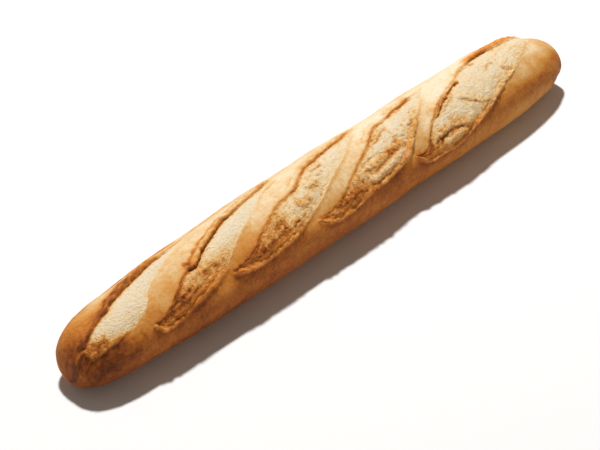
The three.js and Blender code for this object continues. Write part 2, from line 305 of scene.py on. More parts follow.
# %% The larger ridges of torn dough
RIDGES = [
    # points, height, width, drop, brown
    ([(-262, 9), (-258, 13), (-252, 16), (-244, 17.5)], 0.8, 2.6, 0.4, 0.8),
    ([(-259, 6), (-255, 9.5), (-250, 13), (-244, 15)], 0.6, 1.5, 0.6, 0.45),
    ([(-190, 26), (-182, 23), (-173, 20.5)], 1.2, 2.4, 0.6, 0.4),
    ([(-186, 29.5), (-176, 26), (-166, 24)], 1.1, 2.2, 0.5, 0.3),
    ([(-165, 19), (-155, 18.2), (-146, 18.6), (-138, 19.6)], 0.5, 1.5, 0.9, 0.15),
    ([(-106, 29), (-98, 27), (-90, 27.5), (-82, 25)], 1.1, 2.4, 0.5, 0.35),
    ([(-95, 21), (-84, 19), (-76, 20)], 0.9, 2.2, 0.4, 0.3),
    ([(-76, 29.5), (-72, 27), (-66, 26)], 1.0, 1.6, 0.8, 0.4),
    ([(-63, 18), (-57, 18.5), (-51, 18.5), (-46, 16.5)], 1.2, 2.4, 0.5, 0.6),
    ([(-44, 13), (-39, 11.5), (-34, 10)], 0.7, 2.2, 0.3, 0.35),
    ([(-57, 4.6), (-51, 3.6)], 0.3, 1.4, 0.3, 0.5),
    ([(-38, 5), (-33, 3), (-28, 3.5)], 0.6, 1.3, 0.8, 0.3),
    ([(-30, 6), (-24, 4.5), (-20, 5)], 0.6, 1.2, 0.8, 0.3),
    ([(-26, 1), (-20, -1), (-15, 0)], 0.6, 1.2, 0.8, 0.3),
    ([(-122, 32), (-112, 31.5), (-102, 31), (-92, 29)], 0.8, 3.0, 0.2, 0.5),
    ([(-46, 8), (-38, 10), (-30, 9)], 0.9, 2.2, 0.6, 0.25),
    ([(-29, -2), (-23, -0.5), (-17, -2), (-16, -7)], 0.9, 1.4, 0.8, 0.3),
    ([(-30, 36.5), (-20, 34.5), (-8, 34), (2, 35.5)], 1.0, 2.2, 0.4, 0.7),
    ([(-20, 39.5), (-10, 39), (2, 39), (12, 38)], 0.9, 1.6, 0.4, 0.4),
    ([(-14, 29), (-6, 27), (2, 28), (8, 31)], 1.1, 2.2, 0.3, 0.55),
    ([(0, 25), (8, 24), (14, 26)], 1.0, 2.0, 0.6, 0.35),
    ([(8, 29), (20, 26), (30, 24.5), (40, 22.5), (50, 21), (60, 22.5)], 1.4, 2.6, 0.5, 0.78),
    ([(4, 34.4), (14, 33.6), (24, 32), (36, 29.8), (48, 26.8), (57, 24)], 1.0, 2.8, 0, -1.0),
    ([(8, 25), (16, 23.5), (26, 22)], 0.7, 2.0, 0.3, -0.5),
    ([(8, 20), (15, 18), (25, 17), (31, 18.5)], 0.8, 1.4, 0.9, 0.3),
    ([(30, 9.5), (37, 7), (45, 3.5), (55, 1)], 1.3, 1.8, 0.8, 0.4),
    ([(69, 11.5), (75, 10.5), (79, 7.5)], 1.2, 1.4, 1.0, 0.4),
    ([(48, 12), (56, 13), (62, 16)], 0.8, 2.0, 0.5, 0.1),
    ([(80, 34.5), (88, 32), (98, 31.5), (108, 32.5), (118, 35), (127, 37.5)], 1.8, 2.8, 0.5, 0.5),
    ([(68, 40), (75, 37.5), (82, 36)], 1.0, 2.2, 0.3, 0.6),
    ([(88, 39.4), (98, 39.8), (108, 39.8), (118, 40.2)], 1.2, 1.9, 0.3, -0.8),
    ([(95, 20.5), (101, 17), (108, 13), (116, 9.5), (124, 6.8), (132, 3.2), (139, 1.2), (144.5, 3)],
     1.8, 1.7, 0.9, 0.7),
    ([(135, 4), (140, 2), (144.5, 3.4)], 0.7, 1.4, 0.9, 1.0),
    ([(104, 19), (112, 14.8), (119, 12.5), (126, 9.5)], 0.8, 1.3, 0.8, 0.25),
    ([(126, 15), (133, 18), (139, 23), (147, 28), (156, 29.5)], 1.2, 2.2, 0.8, 0.3),
    ([(140, 33.5), (148, 32.5), (157, 30.5)], 0.9, 2.4, 0.2, 0.6),
    ([(156, -6), (163, -7.5), (169, -7)], 0.9, 1.4, 0.9, 0.2),
    ([(169, -6.5), (172, -5.5), (175, -6)], 0.8, 1.3, 1.0, 0.4),
    ([(186, 12), (191, 14), (197, 15.5)], 0.9, 1.8, 0.7, 0.3),
    ([(198, 18.5), (210, 13.5), (222, 8.5), (234, 2), (243, -3)], 0.6, 1.8, 0.2, 0.2),
    ([(172, 8), (176, 5), (180, 3.5), (188, 5.5)], 0.7, 1.4, 0.6, 0.35),
    ([(200, -3), (208, -5), (216, -8)], 0.5, 1.3, 0.5, 0.15),
    ([(208, 8), (214, 5), (222, 3), (228, 0)], 0.5, 1.3, 0.5, 0.15),
    ([(190, 16), (196, 17.5), (200, 19)], 0.6, 1.4, 0.8, 0.5),
]
ridges = [(smooth_line(points), *rest) for points, *rest in RIDGES]
print(len(ridges), "ridges drawn by hand")

# %% [markdown]
# ## Rows and rings
#
# The skin is a grid: rings round the loaf, one a millimetre, and rows along it. A grid
# costs the same everywhere unless it is squeezed, so the rows crowd together over the
# slashed top, crowd again at every tear and lip, where the crust turns over within a
# millimetre or two, and spread out over the smooth sides and the base. The rows are
# placed by a density: the more density a place has, the more rows pass through it.

# %% Lay out the rings and rows
RING_STEP = 1.0
CAP_LENGTH = 30.0  # at either tip, where the rings crowd together
CAP_RINGS = 34
ROWS = 178
FINE = 420  # steps round the skin on which the density is measured
SIDE_DENSITY = 0.2
TOP_DENSITY = 0.6
OPENING_DENSITY = 0.9
TEAR_DENSITY = 3.0
LIP_DENSITY = 2.2
LINE_SPREAD = 2.6  # millimetres on either side of a line over which the rows crowd


def window(value, low, full, fade, high):
    """0 outside low to high and 1 from full to fade, with an even S on either side."""
    return smooth(low, full, value) * (1 - smooth(fade, high, value))


def bell(value, middle, width):
    """1 at the middle, and nearly 0 from two widths away."""
    return np.exp(-((value - middle) / width) ** 2)


def ring_places():
    shares = (np.arange(CAP_RINGS) + 1) / (CAP_RINGS + 1)
    tip = CAP_LENGTH * (1 - np.cos(math.pi / 2 * shares))
    body_half = LENGTH / 2 - CAP_LENGTH
    body = np.linspace(-body_half, body_half, int(2 * body_half / RING_STEP) + 1)
    return np.concatenate([-LENGTH / 2 + tip, body, (LENGTH / 2 - tip)[::-1]])


def line_height(line, x):
    """The c of a line at x, and how present it is there (it fades past its ends)."""
    order = np.argsort(line[:, 0])
    c = np.interp(x, line[order, 0], line[order, 1])
    low, high = line[:, 0].min(), line[:, 0].max()
    return c, window(x, low - 10, low + 4, high - 4, high + 10)


rings = ring_places()
fine_c = np.linspace(-HALF_TURN, HALF_TURN, FINE)
row_c = np.zeros((len(rings), ROWS))
crowded = [(line, TEAR_DENSITY) for line in tears] + [(line, LIP_DENSITY) for line in lips]
for i, x in enumerate(rings):
    density = SIDE_DENSITY + TOP_DENSITY * window(fine_c, -80, -48, 58, 90)
    density = density + OPENING_DENSITY * window(fine_c, -40, -24, 46, 60)
    for line, amount in crowded:
        c, present = line_height(line, x)
        density = density + amount * present * bell(fine_c, c, LINE_SPREAD)
    total = np.concatenate([[0], np.cumsum((density[1:] + density[:-1]) / 2)])
    row_c[i] = np.interp(np.arange(ROWS) / ROWS * total[-1], total, fine_c)

ring_x = np.repeat(rings[:, None], ROWS, axis=1)
half = half_width(ring_x)
full_share = row_c / (WIDTH / 2)
angle = angle_at(full_share)
place_c = full_share * half  # the real distance round this ring's own, smaller section
base = section_point(ring_x, angle)
flat = np.stack([ring_x, place_c, 0 * ring_x], axis=-1)  # places on the skin laid flat
print("skin grid:", row_c.shape, "=", 2 * row_c.size, "triangles")

# %% [markdown]
# ## Noise
#
# Dough is never even. Gradient noise gives smooth, aimless variation at a chosen size, and
# cell noise gives the round bumps of lumps and blisters. Both are written here with arrays
# and a seeded table, so every run gives the same loaf.
#
# Each use of noise names its places, its size in millimetres and a seed of its own, so that
# no two of them line up. The number in front of it is how much it counts: millimetres in
# the relief, and shares in the masks.

# %% Noise on arrays of places
rng = np.random.default_rng(7)
TABLE = 256
noise_order = rng.permutation(TABLE)
noise_slopes = rng.normal(size=(TABLE, 3))
noise_slopes /= np.linalg.norm(noise_slopes, axis=1)[:, None]


def corner_index(cell):
    index = noise_order[cell[..., 2] % TABLE]
    index = noise_order[(index + cell[..., 1]) % TABLE]
    return noise_order[(index + cell[..., 0]) % TABLE]


def noise(places, size, seed=0):
    """Smooth noise, about -1 to 1, whose bumps are about size across."""
    p = places / size + seed * 17.31
    cell = np.floor(p).astype(int)
    f = p - cell
    w = f ** 3 * (f * (6 * f - 15) + 10)
    value = 0
    for step in np.ndindex(2, 2, 2):
        step = np.array(step)
        slope = noise_slopes[corner_index(cell + step)]
        weight = np.prod(np.where(step, w, 1 - w), axis=-1)
        value = value + weight * ((f - step) * slope).sum(-1)
    return value * 1.6


def layered(places, size, seed=0, layers=3):
    """Noise with finer and finer noise added to it."""
    parts = [noise(places, size / 2 ** k, seed + k) / 1.8 ** k for k in range(layers)]
    return sum(parts) / 1.4


def cells(places, size, seed=0):
    """Distance to the nearest of scattered points, and to the second nearest, in sizes."""
    p = places / size + seed * 11.7
    cell = np.floor(p).astype(int)
    nearest = np.full(p.shape[:-1], 9.0)
    second = np.full(p.shape[:-1], 9.0)
    for step in np.ndindex(3, 3, 3):
        other = cell + np.array(step) - 1
        spot = other + 0.5 + 0.45 * noise_slopes[corner_index(other)]
        gap = np.linalg.norm(p - spot, axis=-1)
        second = np.minimum(second, np.maximum(nearest, gap))
        nearest = np.minimum(nearest, gap)
    return nearest, second


print("noise spread:", np.round(np.percentile(noise(base, 10), [1, 50, 99]), 2))

# %% [markdown]
# ## How far each point is from every line
#
# The relief is written in distances: so far behind the tear the ear is highest, so far
# inside the lip the floor is lowest. The distances are measured on the skin laid flat,
# after the places have been shifted a little by noise, which makes every edge wander
# and fray as torn dough does.

# %% Measure distances to the lines
def line_distance(line, places):
    """Signed distance to a line (in front of it is positive), and the share along it."""
    best = np.full(places.shape[:-1], 1e9)
    along_line = np.zeros(places.shape[:-1])
    side = np.ones(places.shape[:-1])
    for k in range(len(line) - 1):
        step = line[k + 1] - line[k]
        offset = places - line[k]
        share = np.clip((offset @ step) / (step @ step), 0, 1)
        gap = np.hypot(*np.moveaxis(offset - share[..., None] * step, -1, 0))
        closer = gap < best
        best = np.where(closer, gap, best)
        along_line = np.where(closer, (k + share) / (len(line) - 1), along_line)
        turn_to = step[0] * offset[..., 1] - step[1] * offset[..., 0]
        side = np.where(closer, np.where(turn_to < 0, -1.0, 1.0), side)
    return best * side, along_line


def inside_outline(outline, places):
    """Whether each place lies inside a closed outline: its edges are crossed an odd number
    of times on the way out."""
    inside = np.zeros(places.shape[:-1], bool)
    before = outline[-1]
    for corner in outline:
        crosses = (corner[1] > places[..., 1]) != (before[1] > places[..., 1])
        rise = before[1] - corner[1]
        slope = (before[0] - corner[0]) / (rise if rise else 1e-9)
        reach = corner[0] + slope * (places[..., 1] - corner[1])
        inside ^= crosses & (places[..., 0] < reach)
        before = corner
    return inside


def near_line(line, reach):
    """Which points lie in the box round a line."""
    low, high = line.min(0) - reach, line.max(0) + reach
    inside_x = (ring_x > low[0]) & (ring_x < high[0])
    return inside_x & (place_c > low[1]) & (place_c < high[1])


FRAY = 0.75  # how far the edges wander at the scale of a torn flake
SPLINTER = 0.4  # at the scale of its crumbs
WANDER = 0.6  # and at the scale of a finger
shift = np.stack([
    WANDER * noise(flat, 24, 3) + FRAY * noise(flat, 4.2, 4) + SPLINTER * noise(flat, 2.3, 74),
    WANDER * noise(flat, 24, 5) + FRAY * noise(flat, 4.2, 6) + SPLINTER * noise(flat, 2.3, 75),
], axis=-1)
frayed = flat[..., :2] + shift

cuts = []
REACH = 26.0  # farther than this from a slash, nothing of it is felt
for slash, tear, lip in zip(SLASHES, tears, lips):
    near = near_line(np.concatenate([tear, lip]), REACH)
    places = frayed[near]
    behind_tear, tear_along = line_distance(tear, places)
    before_lip, lip_along = line_distance(lip, places)
    before_lip = before_lip + 0.5 * noise(flat[near], 3.2, 57) + 0.5 * noise(flat[near], 9, 58)
    inside = inside_outline(np.concatenate([tear, lip[-2:0:-1]]), places)
    sign = np.where(inside, -1.0, 1.0)  # from here on, outside the opening is positive
    cuts.append(SimpleNamespace(
        slash=slash, near=near, x=ring_x[near], c=place_c[near], spot=flat[near], inside=inside,
        opened=window(tear_along, 0, 0.04, 0.84, 1),  # 0 at both ends of the cut
        tear_gap=sign * np.abs(behind_tear), lip_gap=sign * np.abs(before_lip),
        lip_along=lip_along,
    ))
    print("opening covers", int(inside.sum()), "points")

# %% [markdown]
# ## Ears and lips
#
# Each edge gets its own cross-section, given as a few heights and sideways shifts against
# the distance from the edge. An ear rises from the skin to a crest, rolls over the opening
# and tucks back under itself, so part of it is moved sideways as well as up. That overhang
# is what throws the dark line beside a real ear. A folded ear slopes away behind, and a
# rolled one is a rope with a shallow groove behind it. Where the skin only swelled up, a
# plain hump takes their place, and where nothing lifted at all, the tear is a crease.
#
# The lip is the same idea, small and thin. Where the crust split into two leaves, a second
# edge stands behind the first. The dough's last roll before the lip, its shoulder, lifts
# the crumb there so that it catches the light and hides the lip's back.

# %% Cross-sections, from the distance to the edge (outside positive) to height and shift
EAR_EDGE = {  # shares of the ear's height: up, and over the opening
    -7.0: (0, 0), -4.0: (-0.08, 0), -2.4: (-0.25, 0), -1.2: (-0.35, 0), -0.5: (-0.2, 0.3),
    0.0: (0.5, 0.55), 0.6: (0.9, 0.55),
}
FOLDED_EAR = {
    **EAR_EDGE, 1.4: (1.0, 0.42), 3.2: (0.8, 0.24), 6.0: (0.45, 0.1), 9.0: (0.2, 0.03),
    14.0: (0, 0),
}
ROLLED_EAR = {
    **EAR_EDGE, 1.4: (1.0, 0.4), 2.4: (0.85, 0.22), 3.4: (0.4, 0.1), 4.3: (-0.1, 0),
    5.0: (-0.28, 0), 5.8: (-0.12, 0), 8.0: (0, 0), 14.0: (0, 0),
}
SWELL = {
    -1.5: (0, 0), 0.0: (0.4, 0), 1.5: (0.8, 0), 3.5: (1.0, 0), 6.0: (0.9, 0), 9.0: (0.5, 0),
    13.0: (0, 0),
}
CREASE = {  # in millimetres, as are the sections of the lip
    -6.0: (0, 0), -2.0: (-0.15, 0), -0.9: (-0.55, 0), -0.3: (-0.6, 0.1),
    0.3: (0.2, 0.2), 1.0: (0.45, 0.1), 2.2: (0.2, 0), 4.0: (0, 0),
}
SHOULDER = {  # a share of its height: its back faces up, its front faces down
    -14.0: (0, 0), -11.0: (0.2, 0), -8.5: (0.7, 0), -6.2: (1.0, 0), -4.8: (0.85, 0),
    -3.4: (0.55, 0), -2.0: (0.35, 0), 0.0: (0.2, 0), 1.5: (0, 0),
}
LIP_EDGE = {  # it curls outwards a little, so its front face throws a thin line of shade
    -1.8: (1.1, -0.15), -1.0: (1.5, -0.25), -0.3: (1.3, -0.3), 0.4: (0.6, -0.25),
    1.2: (0.1, -0.1), 2.0: (0, 0), 7.0: (0, 0),
}
LIP = {-5.0: (0, 0), -3.4: (0.1, 0), -2.6: (0.5, 0), **LIP_EDGE}
SECOND_EDGE = -4.4  # where a split lip's second edge stands
DOUBLE_LIP = {
    -9.0: (0, 0), -7.0: (-0.3, 0), -6.0: (-0.2, 0), -5.2: (0.5, -0.1), SECOND_EDGE: (0.8, -0.2),
    -3.6: (0.5, -0.15), -2.8: (0.4, 0), **LIP_EDGE,
}


def from_table(table, values):
    return np.interp(values, list(table.keys()), list(table.values()))


def along(cut, name):
    """A slash's value that changes along x, at each point near it."""
    return from_table(cut.slash[name], cut.x)


def section_at(section, distance):
    """Height and shift of a cross-section."""
    stops = np.array(list(section.keys()))
    rows = np.array(list(section.values()))
    return np.interp(distance, stops, rows[:, 0]), np.interp(distance, stops, rows[:, 1])


print("an ear's crest stands at", max(FOLDED_EAR, key=FOLDED_EAR.get), "mm from its edge")

# %% Shape the ears
OVERHANG = 0.75  # how far an ear leans over its root, as a share of its height
EAR_FADE = 0.25  # share of an ear's length over which it sinks back
FULL_EAR = 1.4  # under an ear this tall, no crease is left


def shape_ear(cut):
    """The tear's side of an opening: an ear, a swelling or a crease."""
    tall, rolled, leaning = 0 * cut.x, 0 * cut.x, 0 * cut.x + 1
    for low, high, ear_tall, rise, roll, lean in cut.slash["ears"]:
        here = ear_tall * window(cut.x, low, low + rise, high - EAR_FADE * (high - low), high)
        rolled = np.where(here > tall, roll, rolled)
        leaning = leaning + (lean - leaning) * smooth(-0.5, 0.5, here - tall) * (here > 0)
        tall = np.maximum(tall, here)
    tall = tall * (1 + 0.26 * noise(cut.spot, 13, 8) + 0.2 * noise(cut.spot, 4.5, 9))
    cut.tall, cut.rolled, cut.leaning = tall, rolled, leaning
    cut.has_ear = np.clip(tall / FULL_EAR, 0, 1)
    cut.depth = along(cut, "depth")

    root_gap = cut.tear_gap
    cut.tear_gap = root_gap - OVERHANG * tall * leaning  # the drawn line is the ear's edge
    covered = (cut.tear_gap < 0) & (root_gap > 0) & (root_gap < np.abs(cut.lip_gap))
    cut.inside = cut.inside | covered
    cut.lip_gap = np.where(cut.inside, -np.abs(cut.lip_gap), cut.lip_gap)

    folded_up, folded_over = section_at(FOLDED_EAR, cut.tear_gap)
    rolled_up, rolled_over = section_at(ROLLED_EAR, cut.tear_gap)
    swell_up, _ = section_at(SWELL, cut.tear_gap)
    crease_up, crease_over = section_at(CREASE, cut.tear_gap)
    ear_up = leaning * (folded_up * (1 - rolled) + rolled_up * rolled) + (1 - leaning) * swell_up
    ear_over = leaning * (folded_over * (1 - rolled) + rolled_over * rolled)
    creased = (1 - cut.has_ear) * cut.opened
    cut.tear_up = tall * ear_up + creased * crease_up * cut.depth
    cut.tear_over = tall * ear_over + creased * crease_over


for cut in cuts:
    shape_ear(cut)
print("ears up to", [round(float(cut.tall.max()), 1) for cut in cuts], "mm tall")

# %% Shape the lips
CRISP_FADE = 0.08  # share of a lip's length over which it turns from crisp to soft
SPLIT_RUN = 6  # millimetres over which a lip splits in two
SOFT_RIM = 1.8  # half width of the soft rim


def shape_lip(cut):
    """The lip's side of an opening: crisp, split or soft."""
    slash, lip_gap = cut.slash, cut.lip_gap
    crisp = 1 - smooth(slash["crisp"] - CRISP_FADE, slash["crisp"] + CRISP_FADE, cut.lip_along)
    crisp = crisp * smooth(0, 0.02, cut.lip_along)
    crisp = crisp * (1 + 0.5 * noise(cut.spot, 7, 10) + 0.6 * noise(cut.spot, 2.8, 11))
    lip_up, lip_over = section_at(LIP, lip_gap)
    lip_up = lip_up * along(cut, "lip_tall")
    cut.leaf = 0 * cut.x
    if slash["double"]:
        low, high = slash["double"]
        split = window(cut.x, low, low + SPLIT_RUN, high - SPLIT_RUN, high)
        double_up, double_over = section_at(DOUBLE_LIP, lip_gap + 0.5 * noise(cut.spot, 9, 53))
        lip_up = lip_up + split * (double_up - lip_up)
        lip_over = lip_over + split * (double_over - lip_over)
        cut.leaf = bell(lip_gap, SECOND_EDGE, 1.0) * split
    cut.crisp = np.clip(crisp, 0, 1)
    cut.soft_lip = bell(lip_gap, 0, SOFT_RIM) * (1 - cut.crisp) * cut.opened * slash["soft"] / 2
    cut.lip_up = lip_up * crisp + cut.soft_lip
    cut.lip_over = lip_over * crisp


for cut in cuts:
    shape_lip(cut)
print("lips up to", [round(float(cut.lip_up.max()), 1) for cut in cuts], "mm tall")

# %% Raise the floors and join them to both edges
FLOOR_RUN = 12  # millimetres from the edge to where a floor has its full height
HOOK_DEPTH = 0.4  # how much deeper an opening is behind the first stretch of its lip
HOOK_LENGTH = 46.0
SHARP_LIP = 0.4  # only lips crisper than this have such a hook

height = np.zeros(ring_x.shape)  # out from the skin
slide = np.zeros(ring_x.shape)  # round the skin, towards the front


def join_edges(cut):
    """Lay an opening's floor and both its edges on the skin."""
    inside, slash = cut.inside, cut.slash
    from_start = cut.x - slash["tear"][0][0]
    cut.hook = (1 - smooth(0.4 * HOOK_LENGTH, HOOK_LENGTH, from_start)) * inside
    cut.hook = cut.hook * window(-cut.lip_gap, 0, 2.5, 6, 11) * (slash["crisp"] > SHARP_LIP)

    nearer_tear = np.abs(cut.tear_gap) < np.abs(cut.lip_gap)
    edge_up = np.where(nearer_tear, cut.tear_up, cut.lip_up)
    sunk = np.minimum(cut.tear_up, 0) + np.minimum(cut.lip_up, 0)
    edge_up = np.where(inside, sunk + np.maximum(edge_up, 0), edge_up)
    inner = np.minimum(-cut.tear_gap, -cut.lip_gap) * inside
    risen = slash["bulge"] * smooth(0, FLOOR_RUN, inner) * cut.opened
    cut.shoulder = along(cut, "shoulder")
    shoulder_up, _ = section_at(SHOULDER, cut.lip_gap)
    risen = risen + cut.shoulder * shoulder_up * smooth(20, 32, cut.c) * cut.crisp
    height[cut.near] += edge_up + risen - HOOK_DEPTH * cut.hook
    slide[cut.near] += np.where(nearer_tear, cut.tear_over, -cut.lip_over)
    cut.nearer_tear, cut.inner = nearer_tear, inner


for cut in cuts:
    join_edges(cut)
print("relief from", round(height.min(), 2), "to", round(height.max(), 2), "mm")

# %% [markdown]
# ## Marking the parts of the crust
#
# What the oven did to a place depends on what it is: ear, lip or floor; the shade under an
# edge is painted in as well. So each part leaves a mask, a number for each point that is 1
# on the part and fades to 0 around it. Where openings overlap, the stronger mask counts. The
# masks steer the smaller relief at first, and the colours later, painted shade and glow
# among them.

# %% Mark floors, lips and ears
masks = {}


def raise_masks(near, **values):
    """Raise each named mask, at the points near a line, to these values."""
    for name, value in values.items():
        mask = masks.setdefault(name, np.zeros(ring_x.shape))
        mask[near] = np.maximum(mask[near], value)


def mark_floor(cut):
    """Bare dough, how floury it is, and the painted shade along the tear."""
    slash, spot, has_ear = cut.slash, cut.spot, cut.has_ear
    bare = smooth(0, 1.1, cut.inner)
    softness = 1 + 4 * (1 - cut.crisp)
    dusted = smooth(-softness, 1.6 * softness, -cut.lip_gap + 0.6 * softness * noise(spot, 6, 52))
    dusted = dusted * np.where(cut.nearer_tear, smooth(0.3, 2.2, -cut.tear_gap), 1)
    flour_end = slash["flour_to"]
    floury = 1 - smooth(flour_end - 12, flour_end + 4, cut.c + 4 * noise(spot, 12, 45))
    # the tear's crease is marked here for painted shade, which the material darkens
    pinch = bell(cut.tear_gap, -0.9, 0.9) * cut.opened * cut.depth * (0.3 + 0.5 * has_ear)
    reach = 1.2 + 1.6 * has_ear + 0.9 * slash["soft"] * (1 - 0.5 * has_ear)
    # the shade under the tear's edge, painted into the crumb as browner colour and less flour
    under = bell(cut.tear_gap, 0, reach) * cut.opened * cut.inside * cut.depth
    raise_masks(
        cut.near, torn=bare, rough=bare * slash["rough"], hook=cut.hook,
        flour=dusted * along(cut, "flour") * floury, pale=floury,
        golden=along(cut, "golden") * (1 - floury) * bare,
        crease=pinch, under=under * (0.5 + 0.5 * cut.leaning),
    )


def mark_lip(cut):
    """The lip, the band of dough behind it, and the skin below it."""
    band_width = 1.8 + 0.6 * cut.shoulder
    band = bell(cut.lip_gap, -0.9 * band_width, band_width) * cut.crisp
    below = bell(np.maximum(cut.lip_gap - 1, 0), 0, 4) * cut.crisp * ~cut.inside
    on_band = band > 0.01
    raise_masks(
        cut.near, lip=bell(cut.lip_gap, -1.2, 1.3) * cut.crisp, soft_lip=cut.soft_lip,
        leaf=cut.leaf, band=band, below=below,
        lip_bake=along(cut, "lip_bake") * on_band, band_bake=along(cut, "band_bake") * on_band,
    )
    browned = smooth(0.3, 0.45, masks["band_bake"][cut.near])
    # a painted orange glow on the browned band low down, as if light shone through it
    raise_masks(cut.near, thin=band * smooth(18, 28, cut.c) * browned)


def mark_ear(cut):
    """The ear's skin, its crest (painted paler), its torn face (partly painted shade), its groove
    (painted shade), and the rim of a crease.
    """
    gap, has_ear, rolled, outer = cut.tear_gap, cut.has_ear, cut.rolled, ~cut.inside
    rope_width = 1.5 + 1.8 * cut.tall
    rope = 1 - smooth(0.7 * rope_width, rope_width, gap + 0.8 * noise(cut.spot, 5, 62))
    fold = bell(np.maximum(gap - 1, 0), 0, 5.6 + 6 * (1 - cut.leaning))
    ear_side = (rolled * rope + (1 - rolled) * fold) * has_ear * outer
    ear_side = ear_side * np.clip(cut.tall / 1.8, 0.5, 1)
    face = window(gap, -1.6, -0.6, 0.2, 1.6) * has_ear
    raise_masks(
        cut.near, ear=bell(gap, 2.0, 1.3) * has_ear * (0.3 + 0.7 * rolled),
        ear_side=ear_side, ear_bake=along(cut, "ear_bake") * (ear_side > 0.01),
        ear_face=face * cut.leaning, face_bake=along(cut, "face_bake") * (face > 0.01),
        groove=bell(gap, 5.0, 0.9) * has_ear * rolled * outer,
        border=bell(gap, 0.7, 1.2) * (1 - has_ear) * cut.opened,
        # a painted orange glow on the ear, as if light shone through it
        thin=cut.slash["ear_glow"] * ear_side,
    )


for cut in cuts:
    mark_floor(cut)
    mark_lip(cut)
    mark_ear(cut)
print("masks:", ", ".join(sorted(masks)))

# %% [markdown]
# ## Ridges inside the openings
#
# Every drawn ridge is laid over the floor of its opening: an even slope at the back and,
# where it drops, a steep front with a hollow at its foot. A little noise breaks its crest.
# Brown ridges stood up into the heat, and the pale ones are dough that rolled over late.

# %% Raise the ridges
def raise_ridge(line, tall, width, drop, brown):
    """Lay one ridge over the floor, with the hollow at its foot, the painted shade in it, and its
    colour.
    """
    near = near_line(line, 4 * width)
    gap, share = line_distance(line, frayed[near])
    place = masks["torn"][near] * window(share, 0, 0.12, 0.85, 1)
    broken = 1 + 0.5 * noise(flat[near], 6, 12) + 0.5 * noise(flat[near], 2.6, 13)
    front_width = width * (1 - 0.72 * drop)
    shape = bell(gap, 0, np.where(gap < 0, width, front_width))
    foot = drop * bell(gap, 1.5 * front_width + 0.5, 0.9)
    height[near] += place * broken * tall * (0.8 * shape - 0.25 * foot)
    slide[near] += place * drop * 0.35 * tall * bell(gap, 0, 0.6 * width)
    patchy = np.clip(0.75 + 0.7 * layered(flat[near], 5, 14), 0, 1.4)
    coloured = place * bell(gap, 0, 1.7 * width) * patchy
    raise_masks(near, **{"brown" if brown > 0 else "cream": abs(brown) * coloured})
    # painted shade in the hollow at the ridge's foot
    raise_masks(near, crease=0.3 * place * foot * min(tall, 1.2))


for ridge in ridges:
    raise_ridge(*ridge)
print("relief now from", round(height.min(), 2), "to", round(height.max(), 2), "mm")

# %% [markdown]
# ## Small relief
#
# Torn crumb is rough in a way of its own: lumps and grains with furrows between them, drawn
# out along the slash, and rougher towards the lower end of each opening. Rounded lumps come
# from cell noise: the gap between the nearest and the second nearest point is wide inside a
# lump and closes at its border. The skin has soft dents, faint ripples and clusters of tiny
# blisters, mostly near the ends. Ears and lips are crisp and flake off in scales.
#
# All this goes into the mesh, because it is large enough to catch the light; only what is
# finer than the grid is left to the material.

# %% Directions along the slashes
SLANT = math.radians(-22)  # the slashes' direction on the skin laid flat
along_slash = flat[..., 0] * math.cos(SLANT) + flat[..., 1] * math.sin(SLANT)
across_slash = -flat[..., 0] * math.sin(SLANT) + flat[..., 1] * math.cos(SLANT)


def drawn_out(times, third=0):
    """Places in which noise comes out as strokes along the slashes, so many times as long."""
    return np.stack([along_slash / times, across_slash, third + 0 * along_slash], axis=-1)


def spot_at(x, c, long, wide, places=flat):
    """1 at a spot on the skin, fading to 0 over its length and width."""
    return bell(places[..., 0], x, long) * bell(places[..., 1], c, wide)


grained = drawn_out(1.6)
print("grain runs", round(math.degrees(SLANT)), "degrees off the loaf's length")

# %% Add the crumb
LUMP_SIZE = 7.5
GRAIN_SIZE = 3.3
torn = masks["torn"]
lowness = smooth(10, 26, place_c)  # the near, lower ends of the openings
craggy = masks["rough"] * (0.5 + 0.5 * layered(flat, 22, 19, 2)) + 0.5 * lowness
crumb_size = torn * (1 - 0.7 * masks["band"]) * np.clip(craggy, 0, 1)
warp = np.stack([noise(grained, 5, 50), noise(grained, 5, 51), 0 * along_slash], axis=-1)
near_lump, next_lump = cells(grained + 2.2 * warp, LUMP_SIZE, 3)
near_grain, next_grain = cells(grained + 1.2 * warp, GRAIN_SIZE, 4)
lumps = smooth(0, 0.5, next_lump - near_lump) - 0.6
grains = smooth(0, 0.6, next_grain - near_grain) - 0.5
crumb = crumb_size * (0.34 * lumps + 0.42 * grains + 0.8 * layered(grained, 10, 20, 3))
crumb = crumb + 0.2 * torn * noise(grained, 2.4, 27) + 0.42 * masks["rough"] * noise(grained, 5.5, 65)
pits = torn * smooth(0.3, 0.75, noise(grained, 3.2, 29)) * (0.15 + 0.3 * crumb_size)
cracks = np.clip(0.55 - 0.6 * lumps - 0.6 * grains, 0, 1) * torn
height += crumb - pits
print("crumb relief spread:", np.round(np.percentile(crumb[torn > 0.5], [1, 50, 99]), 2), "mm")

# %% Add dents, ripples and blisters to the skin
BLISTER_SIZE = 4.4
dents = 0.5 * noise(base, 62, 30) + 0.16 * noise(base, 19, 31)
ripples = 0.12 * noise(drawn_out(4, base[..., 2]), 5, 32)
ripples = ripples + 0.12 * noise(base, 7, 55) + 0.07 * noise(base, 3, 56)
ripples = ripples + 0.45 * masks["ear_side"] * noise(drawn_out(5), 1.8, 34)
end_gap = LENGTH / 2 - np.abs(ring_x)
blister_zone = np.clip(1.1 - end_gap / 75, 0.12, 1) * smooth(-0.35, 0.4, noise(base, 26, 33))
blister_gap, _ = cells(base, BLISTER_SIZE, 2)
blisters = 0.34 * blister_zone * (1 - smooth(0.1, 0.55, blister_gap))
height += (1 - torn) * (ripples + blisters) + dents
print("blisters up to", round(blisters.max(), 2), "mm")

